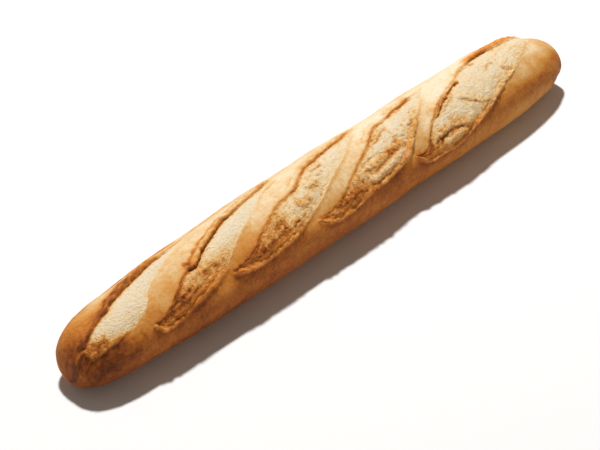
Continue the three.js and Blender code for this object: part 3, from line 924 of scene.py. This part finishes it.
# %% Add flakes, hollows and torn scales
HOLLOWS = [  # x, c, length, width, depth: where the far end sank behind and below its slash
    (254, -10, 9, 13, 2.4),
    (258, 40, 12, 16, 2.2),
]
ROUGH_SKIN = [(-263, 9, 9), (-256, 17, 5)]  # crust torn into scales: x, c, size
flaky = masks["ear_side"] + masks["lip"] + 0.6 * masks["band"] + masks["leaf"] + 0.6 * masks["border"]
flaky = np.clip(flaky, 0, 1)
flakes = 0.6 * noise(flat, 3.1, 79) + 0.4 * noise(flat, 1.8, 80)
height += 0.4 * flaky * flakes
for x, c, long, wide, depth in HOLLOWS:
    height -= depth * spot_at(x, c, long, wide)
coarse_scales, fine_scales = noise(flat, 4, 59), noise(flat, 2.2, 60)
for x, c, size in ROUGH_SKIN:
    height += spot_at(x, c, size, size) * (0.5 * coarse_scales + 0.35 * fine_scales)
height = np.where(base[..., 2] <= 0, 0, height)  # the base stays flat
print("relief in all from", round(height.min(), 2), "to", round(height.max(), 2), "mm")

# %% [markdown]
# ## Pushing the points out
#
# Each point moves straight out from the plain loaf by its height, and round the loaf by its
# slide. Straight out is the cross product of the two directions in which the grid runs.

# %% Move the skin points
SLOPE_STEP = 0.25


def unit(vectors):
    return vectors / np.maximum(np.linalg.norm(vectors, axis=-1, keepdims=True), 1e-9)


round_way = unit(np.stack([0 * angle, -np.cos(angle), -ROUNDNESS * np.sin(angle)], axis=-1))
edge = LENGTH / 2 - 0.02
ahead = section_point(np.minimum(ring_x + SLOPE_STEP, edge), angle)
behind = section_point(np.maximum(ring_x - SLOPE_STEP, -edge), angle)
outward = unit(np.cross(round_way, unit(ahead - behind)))
skin = base + outward * height[..., None] + round_way * slide[..., None]
skin[..., 2] = np.maximum(skin[..., 2], 0)
print("skin box:", np.round(skin.min((0, 1)), 1), np.round(skin.max((0, 1)), 1))

# %% [markdown]
# ## How baked the skin is
#
# Baking colours what stands out and faces the heat, and each point gets one number for it,
# from 0, raw and pale, to 1, nearly burnt; painted shade and light go into the same number.
# The skin is palest just behind its top line and gets browner round both sides down to the
# base, and on the front side part of that brown is painted shade. On that come zones: the
# rim behind the ears caught the most heat, the bridges of skin between two slashes caught
# little, and the near end stood in the hotter part of the oven. Low down, the near half is
# painted darker as shade and the far half paler as bounce light from below. Both tips are
# browner still, and the far tip is painted paler low down, as bounce light.

# %% Bake the sides and the zones, with painted shade and bounce light low down
# the front side (positive c) is browner than the back, partly as painted shade
SKIN_BAKE = {  # round the skin, from c to bake
    -112: 0.5, -84: 0.6, -62: 0.58, -48: 0.42, -36: 0.2, -22: 0.09, 0: 0.16, 10: 0.28,
    20: 0.41, 28: 0.54, 36: 0.65, 46: 0.71, 62: 0.70, 84: 0.6, 112: 0.5,
}
MIDDLE_LAG = 9  # in the middle of the loaf the browning begins this much lower down
LOW, HIGH = (-999, -998), (998, 999)  # a zone with one of these has no end on that side
EVERYWHERE = (*LOW, *HIGH)
BAKE_ZONES = [  # how much browner; where along x; where round the skin
    (0.06, (*LOW, -150, -70), EVERYWHERE),  # the near end
    (-0.07, (-80, 0, *HIGH), (*LOW, 5, 20)),  # the top of the far half
    # painted shade: the near half of the front, low down, is made darker
    (0.08, (*LOW, -60, 60), (48, 60, *HIGH)),  # the near half, low down
    # painted bounce light: the far half of the front, low down, is made paler
    (-0.14, (60, 200, *HIGH), (40, 50, *HIGH)),  # the far half, low down
    (0.07, (-40, -14, 110, 140), (-6, 4, 10, 17)),  # the upper ends of the far bridges
    (-0.06, (-50, -30, 20, 60), (14, 20, 24, 30)),  # the middle of the third bridge
    (-0.1, (30, 60, 96, 130), (12, 20, 32, 38)),  # the lower end of the last bridge
    (-0.2, (150, 190, *HIGH), (4, 12, 26, 36)),  # the skin below the last slash
]
RIM_BAKE = 0.46  # how much browner the skin behind the ears is
RIM_ZONES = [  # share of it, and where along x
    (0.4, (*LOW, -225, -205)), (1.0, (-225, -205, -158, -140)), (0.3, (-140, -125, -90, -76)),
    (0.7, (188, 198, 214, 226)),
]
FAR_RIM_BAKE = 0.22


def zone(x_stretch, c_stretch=EVERYWHERE):
    """1 in a part of the skin, fading to 0 beyond it."""
    return window(ring_x, *x_stretch) * window(place_c, *c_stretch)


later = MIDDLE_LAG * zone((-150, -20, 120, 165), (*LOW, 34, 42))
bake = from_table(SKIN_BAKE, place_c - later + 4 * noise(flat, 20, 42))
for browner, x_stretch, c_stretch in BAKE_ZONES:
    bake = bake + browner * zone(x_stretch, c_stretch)
behind_ears = smooth(-44, -30, place_c + 3 * noise(flat, 16, 77))
rim = sum(share * zone(x_stretch, (*LOW, -25, -20)) for share, x_stretch in RIM_ZONES)
bake = bake + RIM_BAKE * rim * behind_ears * (1 + 0.5 * noise(base, 17, 82))
bake = bake + FAR_RIM_BAKE * zone((180, 210, *HIGH), (*LOW, -18, -14)) * behind_ears
print("skin bake:", np.round(np.percentile(bake, [1, 50, 99]), 2))

# %% Bake the tips, with painted bounce light low on the far one
NEAR_TIP_BAKE = 0.96
FAR_FACE_BAKE = 0.66  # of the far tip's very end
near_tip = 1 - smooth(2, 56, ring_x + LENGTH / 2)
near_tip = near_tip * (0.7 + 0.3 * smooth(-8, 14, place_c + 4 * noise(base, 18, 67)))
near_tip = near_tip * (1 - 0.25 * smooth(30, 50, place_c) - 0.16 * bell(place_c, 18, 12))
far_gap = LENGTH / 2 - ring_x
far_tip = 1 - smooth(4, 76, far_gap + 8 * noise(base, 24, 66))
# the far tip is painted paler low down, as bounce light from below
far_bake = 0.30 + 0.4 * smooth(6, 26, place_c) - 0.2 * smooth(44, 66, place_c)
far_bake = far_bake + 0.16 * noise(base, 14, 68)
far_face = 1 - smooth(2, 13, far_gap + 3 * noise(base, 12, 78))
far_bake = far_bake + 0.85 * far_face * (FAR_FACE_BAKE - far_bake)
bake = bake + 0.94 * near_tip * (NEAR_TIP_BAKE - bake) + 0.95 * far_tip * (far_bake - bake)
print("tips:", int((near_tip > 0.5).sum()), "and", int((far_tip > 0.5).sum()), "points")

# %% Add blotches, painted glow patches and the colour of scales
SHINY_PATCHES = [(-149, 39, 7), (-54, 38, 7), (53, 37, 6)]  # thin skin beside a lip's start
# painted glow and highlight: these patches are made paler and get a warm orange glow
for x, c, size in SHINY_PATCHES:
    patch = spot_at(x, c, 1.4 * size, size)
    bake = bake - 0.14 * patch
    masks["thin"] = np.maximum(masks["thin"], 0.6 * patch * (1 - torn))
bake = bake + 0.11 * window(place_c, 6, 20, 34, 42) * layered(flat, 11, 76)
on_top = 1 - 0.45 * smooth(34, 48, place_c)
bake = bake + on_top * (0.05 * noise(base, 8, 41) + 0.05 * noise(base, 3.4, 54))
bake = bake + 0.08 * layered(base, 30, 40)
scales = 0.35 * coarse_scales + 0.25 * fine_scales - 0.1
for x, c, size in ROUGH_SKIN:
    bake = bake + spot_at(x, c, size, size) * scales
print("light comes through at", int((masks["thin"] > 0.3).sum()), "points")

# %% Bake ears, lips and edges, with painted highlight and shade
DARK_SPOTS = [  # x, c, size and how much browner
    (-263, 2, 9, 0.15), (-238, -2, 7, 0.2), (-206, 22, 11, 0.08), (-164, 8.5, 3.5, 0.4),
    (-112, 20, 10, 0.1),
]
streaks = drawn_out(4)
bake = bake + 0.26 * masks["border"] + 0.3 * masks["soft_lip"]
# painted highlight: the ear's crest is made paler
ear_bake = masks["ear_bake"] - 0.1 * masks["ear"] + 0.1 * noise(flat, 5, 43)
ear_bake = ear_bake + 0.3 * noise(streaks, 1.8, 61)
bake = bake + masks["ear_side"] * np.maximum(ear_bake - bake, 0)
# the torn face under an ear's edge: its own browner crust, darkened further as painted shade
ear_face = masks["face_bake"] + 0.15 * noise(flat, 6, 69) + 0.2 * noise(flat, 2.2, 70)
ear_face = np.clip(ear_face, 0, 1)
bake = bake + 0.9 * masks["ear_face"] * np.maximum(ear_face - bake, 0)
for x, c, size, browner in DARK_SPOTS:
    bake = bake + browner * spot_at(x, c, size, size)
bake = bake + 0.14 * masks["below"]
lip_bake = masks["lip_bake"] + 0.12 * noise(flat, 5, 71)
# painted shade: the groove behind a rolled ear is made browner
bake = bake + 0.95 * masks["lip"] * (lip_bake - bake) + 0.34 * masks["groove"]
bake = bake + masks["band"] * (1 - masks["lip"]) * np.maximum(masks["band_bake"] - bake, 0)
print("skin bake with its edges:", np.round(np.percentile(bake, [1, 50, 99]), 2))

# %% [markdown]
# ## How baked the crumb is, and where its shade is painted
#
# The floors stayed pale at the back, where the skin sheltered them, and turned golden
# towards their lips. The tips of the ridges and some patches browned more. What lies low
# between the lumps and the shade under an edge are painted browner, as shade, and the
# crests of the ridges a little paler, as painted highlight. A lump or a hollow is found by
# comparing the height with its own blurred copy.
#
# Flour was dusted on before baking. It lies on the open floors only, and wears off where
# the crumb browned. It is also taken away where shade is painted, so that this shade
# looks golden.

# %% Find the hollows
BLUR_ROUNDS = 8


def blurred(field, rounds):
    """A copy in which every point has taken the mean of its neighbours, again and again."""
    for _ in range(rounds):
        field = (field + np.roll(field, 1, 1) + np.roll(field, -1, 1)) / 3
        field[1:-1] = (field[:-2] + field[1:-1] + field[2:]) / 3
    return field


proud = height - blurred(height.copy(), BLUR_ROUNDS)
hollow = np.clip(-1.2 * proud, 0, 1)
print("hollows on", int((hollow > 0.3).sum()), "points")

# %% Bake the crumb, with painted shade in its hollows and cracks
CRUMB_BAKE = {-30: 0.04, 6: 0.05, 16: 0.12, 24: 0.19, 32: 0.28, 44: 0.34}
CREAM_BAKE = 0.16  # of the pale rolls of dough
BROWN_CRUMB = [  # x, c, length, width and how much browner, from the near end to the far one
    (-252, 14, 9, 6, 0.13), (-184, 30, 18, 5, 0.08), (-152, 20, 17, 4.6, 0.3),
    (-130, 34, 8, 3, 0.3), (-108, 34, 20, 4, 0.32), (-84, 27, 14, 6, 0.12),
    (-14, 36, 17, 4, 0.24), (16, 25.5, 7, 3, 0.2), (43, 23, 10, 2.8, 0.34),
    (70, 37.5, 10, 3.4, 0.26), (94, 31, 10, 2.6, 0.04), (104, 44, 20, 2, 0.1),
    (222, 0, 2.5, 1.6, 0.3),
]
crumb_bake = from_table(CRUMB_BAKE, place_c + 3 * noise(flat, 14, 44))
crumb_bake = crumb_bake - 0.16 * masks["pale"] * lowness
crumb_bake = crumb_bake - 0.12 * zone((-84, -60, 150, 170), (10, 18, 32, 38))
# painted shade: the cracks between lumps and the hollows are made browner
crumb_bake = crumb_bake + 0.12 * crumb_size * layered(grained, 5, 46) + 0.16 * cracks * crumb_size
crumb_bake = crumb_bake + 0.3 * hollow * (0.3 + crumb_size)
strokes = smooth(0.38, 0.7, noise(drawn_out(2.6), 2.4, 63))
strokes = strokes * torn * np.clip(1.3 * masks["rough"] + 0.3 * lowness, 0, 1)
crumb_bake = crumb_bake + 0.2 * strokes
# painted light on the ridges: paler on their proud crests, browner in their hollows
ridge_bake = 0.6 + 0.3 * hollow - 0.5 * np.clip(proud, 0, 0.3)
browned = np.clip(1.5 * masks["brown"], 0, 1)
crumb_bake = crumb_bake + browned * np.maximum(ridge_bake - crumb_bake, 0)
patches = sum(amount * spot_at(*spot, frayed) for *spot, amount in BROWN_CRUMB)
patches = patches * np.clip(1 + 1.2 * noise(flat, 3.4, 73), 0, 2)
# painted shade: the hook behind a lip's first stretch and the shade under an edge are made browner;
# the patches and the golden share are the crumb's own colour
crumb_bake = crumb_bake + patches + 0.1 * masks["hook"] + 0.48 * masks["under"] + masks["golden"]
print("crumb bake:", np.round(np.percentile(crumb_bake[torn > 0.5], [1, 50, 99]), 2))

# %% Join it to its edges and to the skin
crumb_bake = crumb_bake + 0.9 * masks["cream"] * (CREAM_BAKE - crumb_bake)
band_bake = masks["band_bake"] + 0.1 * noise(streaks, 3, 72)
on_band = masks["band"] * (1 - masks["cream"])
crumb_bake = crumb_bake + on_band * np.maximum(band_bake - crumb_bake, 0)
crumb_bake = crumb_bake + 0.8 * masks["leaf"] * (masks["lip_bake"] - crumb_bake)
crumb_bake = crumb_bake + 0.8 * masks["lip"] * (lip_bake - crumb_bake)
crumb_bake = crumb_bake + 0.9 * masks["ear_face"] * np.maximum(ear_face - crumb_bake, 0)
bake = bake * (1 - torn) + crumb_bake * torn - 0.16 * flaky * flakes
bake = np.clip(bake, 0, 1)
print("bake:", np.round(np.percentile(bake, [1, 50, 99]), 2))

# %% Dust the floors with flour
# flour is also taken away where painted shade lies: hollows, cracks, under an edge and on the torn
# face
worn = 0.9 * hollow + 0.4 * cracks * crumb_size + 0.6 * strokes + 2 * patches
worn = worn + 1.1 * masks["brown"] + 1.3 * masks["under"] + masks["band"] + masks["ear_face"]
flour = masks["flour"] - worn
flour = flour * (1 + 0.3 * layered(flat, 9, 64, 2) * np.clip(0.3 + masks["rough"], 0, 1))
flour = np.clip(flour * (1 - 0.8 * smooth(10, 30, place_c)) + 0.1 * masks["cream"], 0, 1)
print("flour:", np.round(np.percentile(flour[torn > 0.5], [1, 50, 99]), 2))

# %% [markdown]
# ## The mesh
#
# The points become one closed mesh: a quad between neighbouring rings and rows, and a fan
# of triangles at each tip. The skin is unrolled into a picture map as two strips, one for
# each half of the loaf, so that the bake has about as many dots along as across.

# %% Build the loaf
def grid_faces(ring_count, row_count):
    """Quads between neighbouring rings and rows, closed round the loaf."""
    here = np.arange((ring_count - 1) * row_count).reshape(ring_count - 1, row_count)
    beside = np.roll(here, -1, axis=1)
    quads = np.stack([here, beside, beside + row_count, here + row_count], axis=-1)
    return quads.reshape(-1, 4)


def new_mesh(name, points, faces, attributes=None):
    """A mesh object from points in millimetres, with named numbers on its points."""
    mesh = bpy.data.meshes.new(name)
    mesh.from_pydata((np.asarray(points) * MM).tolist(), [], [list(f) for f in faces])
    for title, values in (attributes or {}).items():
        layer = mesh.attributes.new(title, "FLOAT", "POINT")
        layer.data.foreach_set("value", np.asarray(values, np.float32).ravel())
    mesh.shade_smooth()
    mesh.update()
    piece = bpy.data.objects.new(name, mesh)
    bpy.context.collection.objects.link(piece)
    return piece


tip_height = (1 - TIP_DROP) * WIDTH / 2 * ROUNDNESS - BASE_PRESS
tips = np.array([[-LENGTH / 2, 0, tip_height], [LENGTH / 2, 0, tip_height]])
points = np.concatenate([skin.reshape(-1, 3), tips])
quads = grid_faces(len(rings), ROWS)
near_tip_index = len(points) - 2
row = np.arange(ROWS)
next_row = np.roll(row, -1)
last = (len(rings) - 1) * ROWS
fans = [(near_tip_index, b, a) for a, b in zip(row, next_row)]
fans += [(near_tip_index + 1, last + a, last + b) for a, b in zip(row, next_row)]


def with_tips(values):
    """A value for every point of the mesh: each tip takes the mean of the ring beside it."""
    flat_values = values.reshape(-1)
    return np.concatenate([flat_values, [values[0].mean(), values[-1].mean()]])


loaf = new_mesh("baguette_crust", points, quads.tolist() + fans, {
    "bake": with_tips(bake), "flour": with_tips(flour), "torn": with_tips(torn),
    "crease": with_tips(masks["crease"]), "thin": with_tips(masks["thin"]),
})
print("loaf:", len(loaf.data.vertices), "points,", 2 * len(quads) + len(fans), "triangles")

# %% Unroll it for baking
STRIP_GAP = 0.01  # free border round each strip, as a share of the picture
corner_points = np.zeros(len(loaf.data.loops), int)
corner_faces = np.zeros(len(loaf.data.loops), int)
loaf.data.loops.foreach_get("vertex_index", corner_points)
for face in loaf.data.polygons:
    corner_faces[face.loop_start:face.loop_start + face.loop_total] = face.index
is_quad = corner_faces < len(quads)
row_of = corner_points % ROWS
face_row = np.where(is_quad, corner_faces, corner_faces - len(quads)) % ROWS
in_far_half = np.where(
    is_quad, corner_faces // ROWS >= len(rings) // 2, corner_faces >= len(quads) + ROWS,
)
u = (points[corner_points, 0] + LENGTH / 2) / LENGTH
u = np.clip(np.where(in_far_half, u * 2 - 1, u * 2), 0, 1)
u = u * (1 - 2 * STRIP_GAP) + STRIP_GAP
v = np.where(row_of < face_row, row_of + ROWS, row_of) / ROWS  # the last quad of a ring ends at 1
v = np.where(corner_points >= near_tip_index, (face_row + 0.5) / ROWS, v)
v = v * (0.5 - 2 * STRIP_GAP) + STRIP_GAP + np.where(in_far_half, 0.5, 0)
uv_layer = loaf.data.uv_layers.new(name="OFBake")
uv_layer.data.foreach_set("uv", np.stack([u, v], -1).astype(np.float32).ravel())
print("picture map made")

# %% [markdown]
# ## The crust material
#
# One material covers the loaf, as one dough does. A colour ramp turns the bake mask, with
# the shade and light painted into it, into cream, straw, gold, orange-brown and brown. Torn
# crumb has a ramp of its own, because it browns through gold. Fine noise is added to the
# mask before the ramps, so that the colour breaks up into the freckles of a real crust.
# Where the dough is bare and floury, a pale tone with small beige specks is laid over it.
# Thin edges get a painted warm orange glow, as if light shone through them, and the creases
# beside them are darkened a little with painted shade.
#
# The bump is only for what is finer than the mesh: specks of the skin, and the grains of
# the crumb.

# %% Two node groups, for freckles and for grains
FRECKLE_SCALES = (110, 480, 1100)  # features per metre: broad, small and tiny
GRAIN_SCALES = (420, 800)


def add_node(tree, kind, **settings):
    node = tree.nodes.new(kind)
    for name, value in settings.items():
        setattr(node, name, value)
    return node


def math_node(tree, operation, first, second=None, third=None):
    node = add_node(tree, "ShaderNodeMath", operation=operation)
    for socket, value in zip(node.inputs, (first, second, third)):
        if value is None:
            continue
        if isinstance(value, (int, float)):
            socket.default_value = value
        else:
            tree.links.new(value, socket)
    return node.outputs[0]


def noise_node(tree, vector, scale, detail=2.0, roughness=0.5):
    node = add_node(tree, "ShaderNodeTexNoise")
    node.inputs["Scale"].default_value = scale
    node.inputs["Detail"].default_value = detail
    node.inputs["Roughness"].default_value = roughness
    tree.links.new(vector, node.inputs["Vector"])
    return node.outputs["Fac"]


def weighted_sum(tree, first, first_share, second, second_share):
    first = math_node(tree, "MULTIPLY", first, first_share)
    return math_node(tree, "MULTIPLY_ADD", second, second_share, first)


def range_node(tree, value, low, high, top=1.0):
    """An even S from 0 at low to top at high."""
    node = add_node(tree, "ShaderNodeMapRange", interpolation_type="SMOOTHSTEP")
    node.inputs["From Min"].default_value = low
    node.inputs["From Max"].default_value = high
    node.inputs["To Max"].default_value = top
    tree.links.new(value, node.inputs["Value"])
    return node.outputs[0]


def mix_node(tree, factor, first, second):
    node = add_node(tree, "ShaderNodeMix", data_type="RGBA")
    sockets = (node.inputs[0], node.inputs[6], node.inputs[7])
    for socket, value in zip(sockets, (factor, first, second)):
        if isinstance(value, (int, float)):
            socket.default_value = value
        elif isinstance(value, tuple):
            socket.default_value = (*value, 1)
        else:
            tree.links.new(value, socket)
    return node.outputs[2]


def new_group(name, *outputs):
    """A node group with one vector input, and its first and last node."""
    group = bpy.data.node_groups.new(name, "ShaderNodeTree")
    group.interface.new_socket("Vector", in_out="INPUT", socket_type="NodeSocketVector")
    for title in outputs:
        group.interface.new_socket(title, in_out="OUTPUT", socket_type="NodeSocketFloat")
    return group, add_node(group, "NodeGroupInput"), add_node(group, "NodeGroupOutput")


def grain_group():
    """Crumb grains: dark lines between small cells, and their height."""
    group, enter, leave = new_group("crumb_grains", "Gaps", "Height")
    distances = []
    for scale in GRAIN_SCALES:
        grains = add_node(group, "ShaderNodeTexVoronoi", feature="F1")
        grains.inputs["Scale"].default_value = scale
        group.links.new(enter.outputs["Vector"], grains.inputs["Vector"])
        distances.append(grains.outputs["Distance"])
    both = math_node(group, "ADD", *distances)
    group.links.new(range_node(group, both, 0.8, 1.4), leave.inputs["Gaps"])
    group.links.new(math_node(group, "MULTIPLY", both, -0.5), leave.inputs["Height"])
    return group


def freckle_group():
    """Freckles of two sizes, as a mask around 0, and the height of finer specks."""
    group, enter, leave = new_group("crust_freckles", "Freckles", "Height")
    vector = enter.outputs["Vector"]
    broad_scale, small_scale, tiny_scale = FRECKLE_SCALES
    broad = noise_node(group, vector, broad_scale, 3, 0.6)
    small = noise_node(group, vector, small_scale, 3, 0.7)
    tiny = noise_node(group, vector, tiny_scale, 2, 0.6)
    both = weighted_sum(group, broad, 0.4, small, 0.6)
    group.links.new(math_node(group, "SUBTRACT", both, 0.5), leave.inputs["Freckles"])
    group.links.new(weighted_sum(group, small, 0.5, tiny, 0.5), leave.inputs["Height"])
    return group


freckles = freckle_group()
crumb_grains = grain_group()
print("node groups:", freckles.name, crumb_grains.name)

# %% The crust itself
BAKE_COLOURS = [  # from raw-pale to nearly burnt, in linear colour
    (0.00, (0.80, 0.70, 0.53)),
    (0.15, (0.74, 0.55, 0.32)),
    (0.30, (0.66, 0.40, 0.16)),
    (0.45, (0.61, 0.285, 0.068)),
    (0.60, (0.54, 0.20, 0.032)),
    (0.72, (0.42, 0.125, 0.018)),
    (0.86, (0.25, 0.064, 0.011)),
    (1.00, (0.12, 0.030, 0.006)),
]
CRUMB_COLOURS = [  # torn crumb browns through gold, not through orange
    (0.00, (0.82, 0.70, 0.50)),
    (0.25, (0.78, 0.56, 0.29)),
    (0.45, (0.68, 0.37, 0.12)),
    (0.62, (0.54, 0.20, 0.037)),
    (0.78, (0.36, 0.105, 0.017)),
    (1.00, (0.14, 0.035, 0.007)),
]
FLOUR_COLOUR = (0.79, 0.69, 0.52)
SPECK_COLOUR = (0.60, 0.37, 0.15)
# painted shade for the creases of the tears and the feet of the ridges
CREASE_COLOUR = (0.30, 0.10, 0.022)
# painted glow: a warm orange for thin edges, as if light shone through them
GLOW_COLOUR = (0.90, 0.31, 0.05)


def attribute(tree, name):
    return add_node(tree, "ShaderNodeAttribute", attribute_name=name).outputs["Fac"]


def colour_ramp(tree, factor, colours):
    ramp = add_node(tree, "ShaderNodeValToRGB")
    stops = ramp.color_ramp.elements
    while len(stops) < len(colours):
        stops.new(0.5)
    for stop, (place, colour) in zip(stops, colours):
        stop.position = place
        stop.color = (*colour, 1)
    tree.links.new(factor, ramp.inputs["Fac"])
    return ramp.outputs["Color"]


def crust_material():
    material = bpy.data.materials.new("baked_crust")
    material.use_nodes = True
    tree = material.node_tree
    shader = tree.nodes["Principled BSDF"]
    vector = add_node(tree, "ShaderNodeTexCoord").outputs["Object"]
    spots = add_node(tree, "ShaderNodeGroup", node_tree=freckles)
    tree.links.new(vector, spots.inputs["Vector"])
    grains = add_node(tree, "ShaderNodeGroup", node_tree=crumb_grains)
    tree.links.new(vector, grains.inputs["Vector"])
    torn_mask = attribute(tree, "torn")
    flour_mask = attribute(tree, "flour")
    gaps = math_node(tree, "MULTIPLY", grains.outputs["Gaps"], torn_mask)

    # the baked colour, with its painted shade: freckled skin or grainy crumb, and the painted glow of
    # thin edges
    freckle = spots.outputs["Freckles"]
    freckling = math_node(tree, "MULTIPLY_ADD", torn_mask, 0.15, 0.6)
    baked = math_node(tree, "MULTIPLY_ADD", freckle, freckling, attribute(tree, "bake"))
    baked = math_node(tree, "MULTIPLY_ADD", gaps, 0.14, baked)
    skin_colour = colour_ramp(tree, baked, BAKE_COLOURS)
    crumb_colour = colour_ramp(tree, baked, CRUMB_COLOURS)
    baked_colour = mix_node(tree, torn_mask, skin_colour, crumb_colour)
    glow = math_node(tree, "MULTIPLY", attribute(tree, "thin"), 0.5)
    baked_colour = mix_node(tree, glow, baked_colour, GLOW_COLOUR)

    # the flour over it: patchy, thinner between the grains, and none where the mask is 0
    specks = range_node(tree, noise_node(tree, vector, 520, 2, 0.5), 0.56, 0.68)
    specks = math_node(tree, "MULTIPLY", specks, 0.35)
    flour_colour = mix_node(tree, specks, FLOUR_COLOUR, SPECK_COLOUR)
    dusting = math_node(tree, "MULTIPLY_ADD", freckle, 0.5, flour_mask)
    dusting = range_node(tree, dusting, 0.12, 0.75, 0.9)
    any_flour = math_node(tree, "MULTIPLY", flour_mask, 6.0)
    any_flour = math_node(tree, "MINIMUM", any_flour, 1.0)
    dusting = math_node(tree, "MULTIPLY", dusting, any_flour)
    between_gaps = math_node(tree, "MULTIPLY_ADD", gaps, -0.3, 1.0)
    dusting = math_node(tree, "MULTIPLY", dusting, between_gaps)
    colour = mix_node(tree, dusting, baked_colour, flour_colour)
    # painted shade in the creases
    crease_mask = math_node(tree, "MULTIPLY", attribute(tree, "crease"), 0.55)
    colour = mix_node(tree, crease_mask, colour, CREASE_COLOUR)
    tree.links.new(colour, shader.inputs["Base Color"])

    # the surface: the crumb is duller and rougher than the skin
    roughness = math_node(tree, "MULTIPLY_ADD", torn_mask, 0.25, 0.66)
    tree.links.new(roughness, shader.inputs["Roughness"])
    shader.inputs["Specular IOR Level"].default_value = 0.14
    speck_share = math_node(tree, "MULTIPLY_ADD", torn_mask, 1.6, 0.9)
    grain_share = math_node(tree, "MULTIPLY", torn_mask, 0.9)
    fine_height = weighted_sum(
        tree, spots.outputs["Height"], speck_share, grains.outputs["Height"], grain_share,
    )
    bump = add_node(tree, "ShaderNodeBump")
    bump.inputs["Strength"].default_value = 0.8
    bump.inputs["Distance"].default_value = 1.0 * MM
    tree.links.new(fine_height, bump.inputs["Height"])
    tree.links.new(bump.outputs["Normal"], shader.inputs["Normal"])
    return material


crust = crust_material()
loaf.data.materials.append(crust)
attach(loaf, "root")
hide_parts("loaf")
print("material:", crust.name)

# %% [markdown]
# ## Floor and light
#
# The floor is plain and pale. One small lamp hangs high above the loaf, behind it and a
# little to the right, so every ear and crag throws a short crisp shadow towards the viewer,
# and the front side falls into shade. A wide, weak lamp low on the left and a dim warm sky
# fill that shade.

# %% Set the stage
FLOOR_REACH = 6.0
LAMP_AIM = Vector((0, 0, 0.03))
floor_mesh = bpy.data.meshes.new("floor")
corners = [(x * FLOOR_REACH, y * FLOOR_REACH, 0) for x, y in ((-1, -1), (1, -1), (1, 1), (-1, 1))]
floor_mesh.from_pydata(corners, [], [(0, 1, 2, 3)])
floor = bpy.data.objects.new("floor", floor_mesh)
bpy.context.collection.objects.link(floor)
floor_material = bpy.data.materials.new("floor_paint")
floor_material.use_nodes = True
floor_shader = floor_material.node_tree.nodes["Principled BSDF"]
floor_shader.inputs["Base Color"].default_value = (0.82, 0.84, 0.87, 1)
floor_shader.inputs["Roughness"].default_value = 0.9
floor_shader.inputs["Specular IOR Level"].default_value = 0.1
floor_mesh.materials.append(floor_material)


def lamp(name, place, size, power, colour):
    data = bpy.data.lights.new(name, "AREA")
    data.shape = "DISK"
    data.size = size
    data.energy = power
    data.color = colour
    light = bpy.data.objects.new(name, data)
    light.location = place
    light.rotation_euler = (LAMP_AIM - Vector(place)).to_track_quat("-Z", "Y").to_euler()
    bpy.context.collection.objects.link(light)


lamp("key", (0.56, 0.98, 3.10), 0.3, 128, (1.0, 0.98, 0.95))
lamp("fill", (-1.6, -2.9, 0.9), 1.6, 11, (1.0, 0.88, 0.76))

world = bpy.data.worlds.new("world")
world.use_nodes = True
sky = world.node_tree.nodes["Background"]
sky.inputs["Color"].default_value = (1.0, 0.86, 0.70, 1)
sky.inputs["Strength"].default_value = 0.17
bpy.context.scene.world = world
bpy.context.scene.view_settings.view_transform = "Standard"
print("stage set")
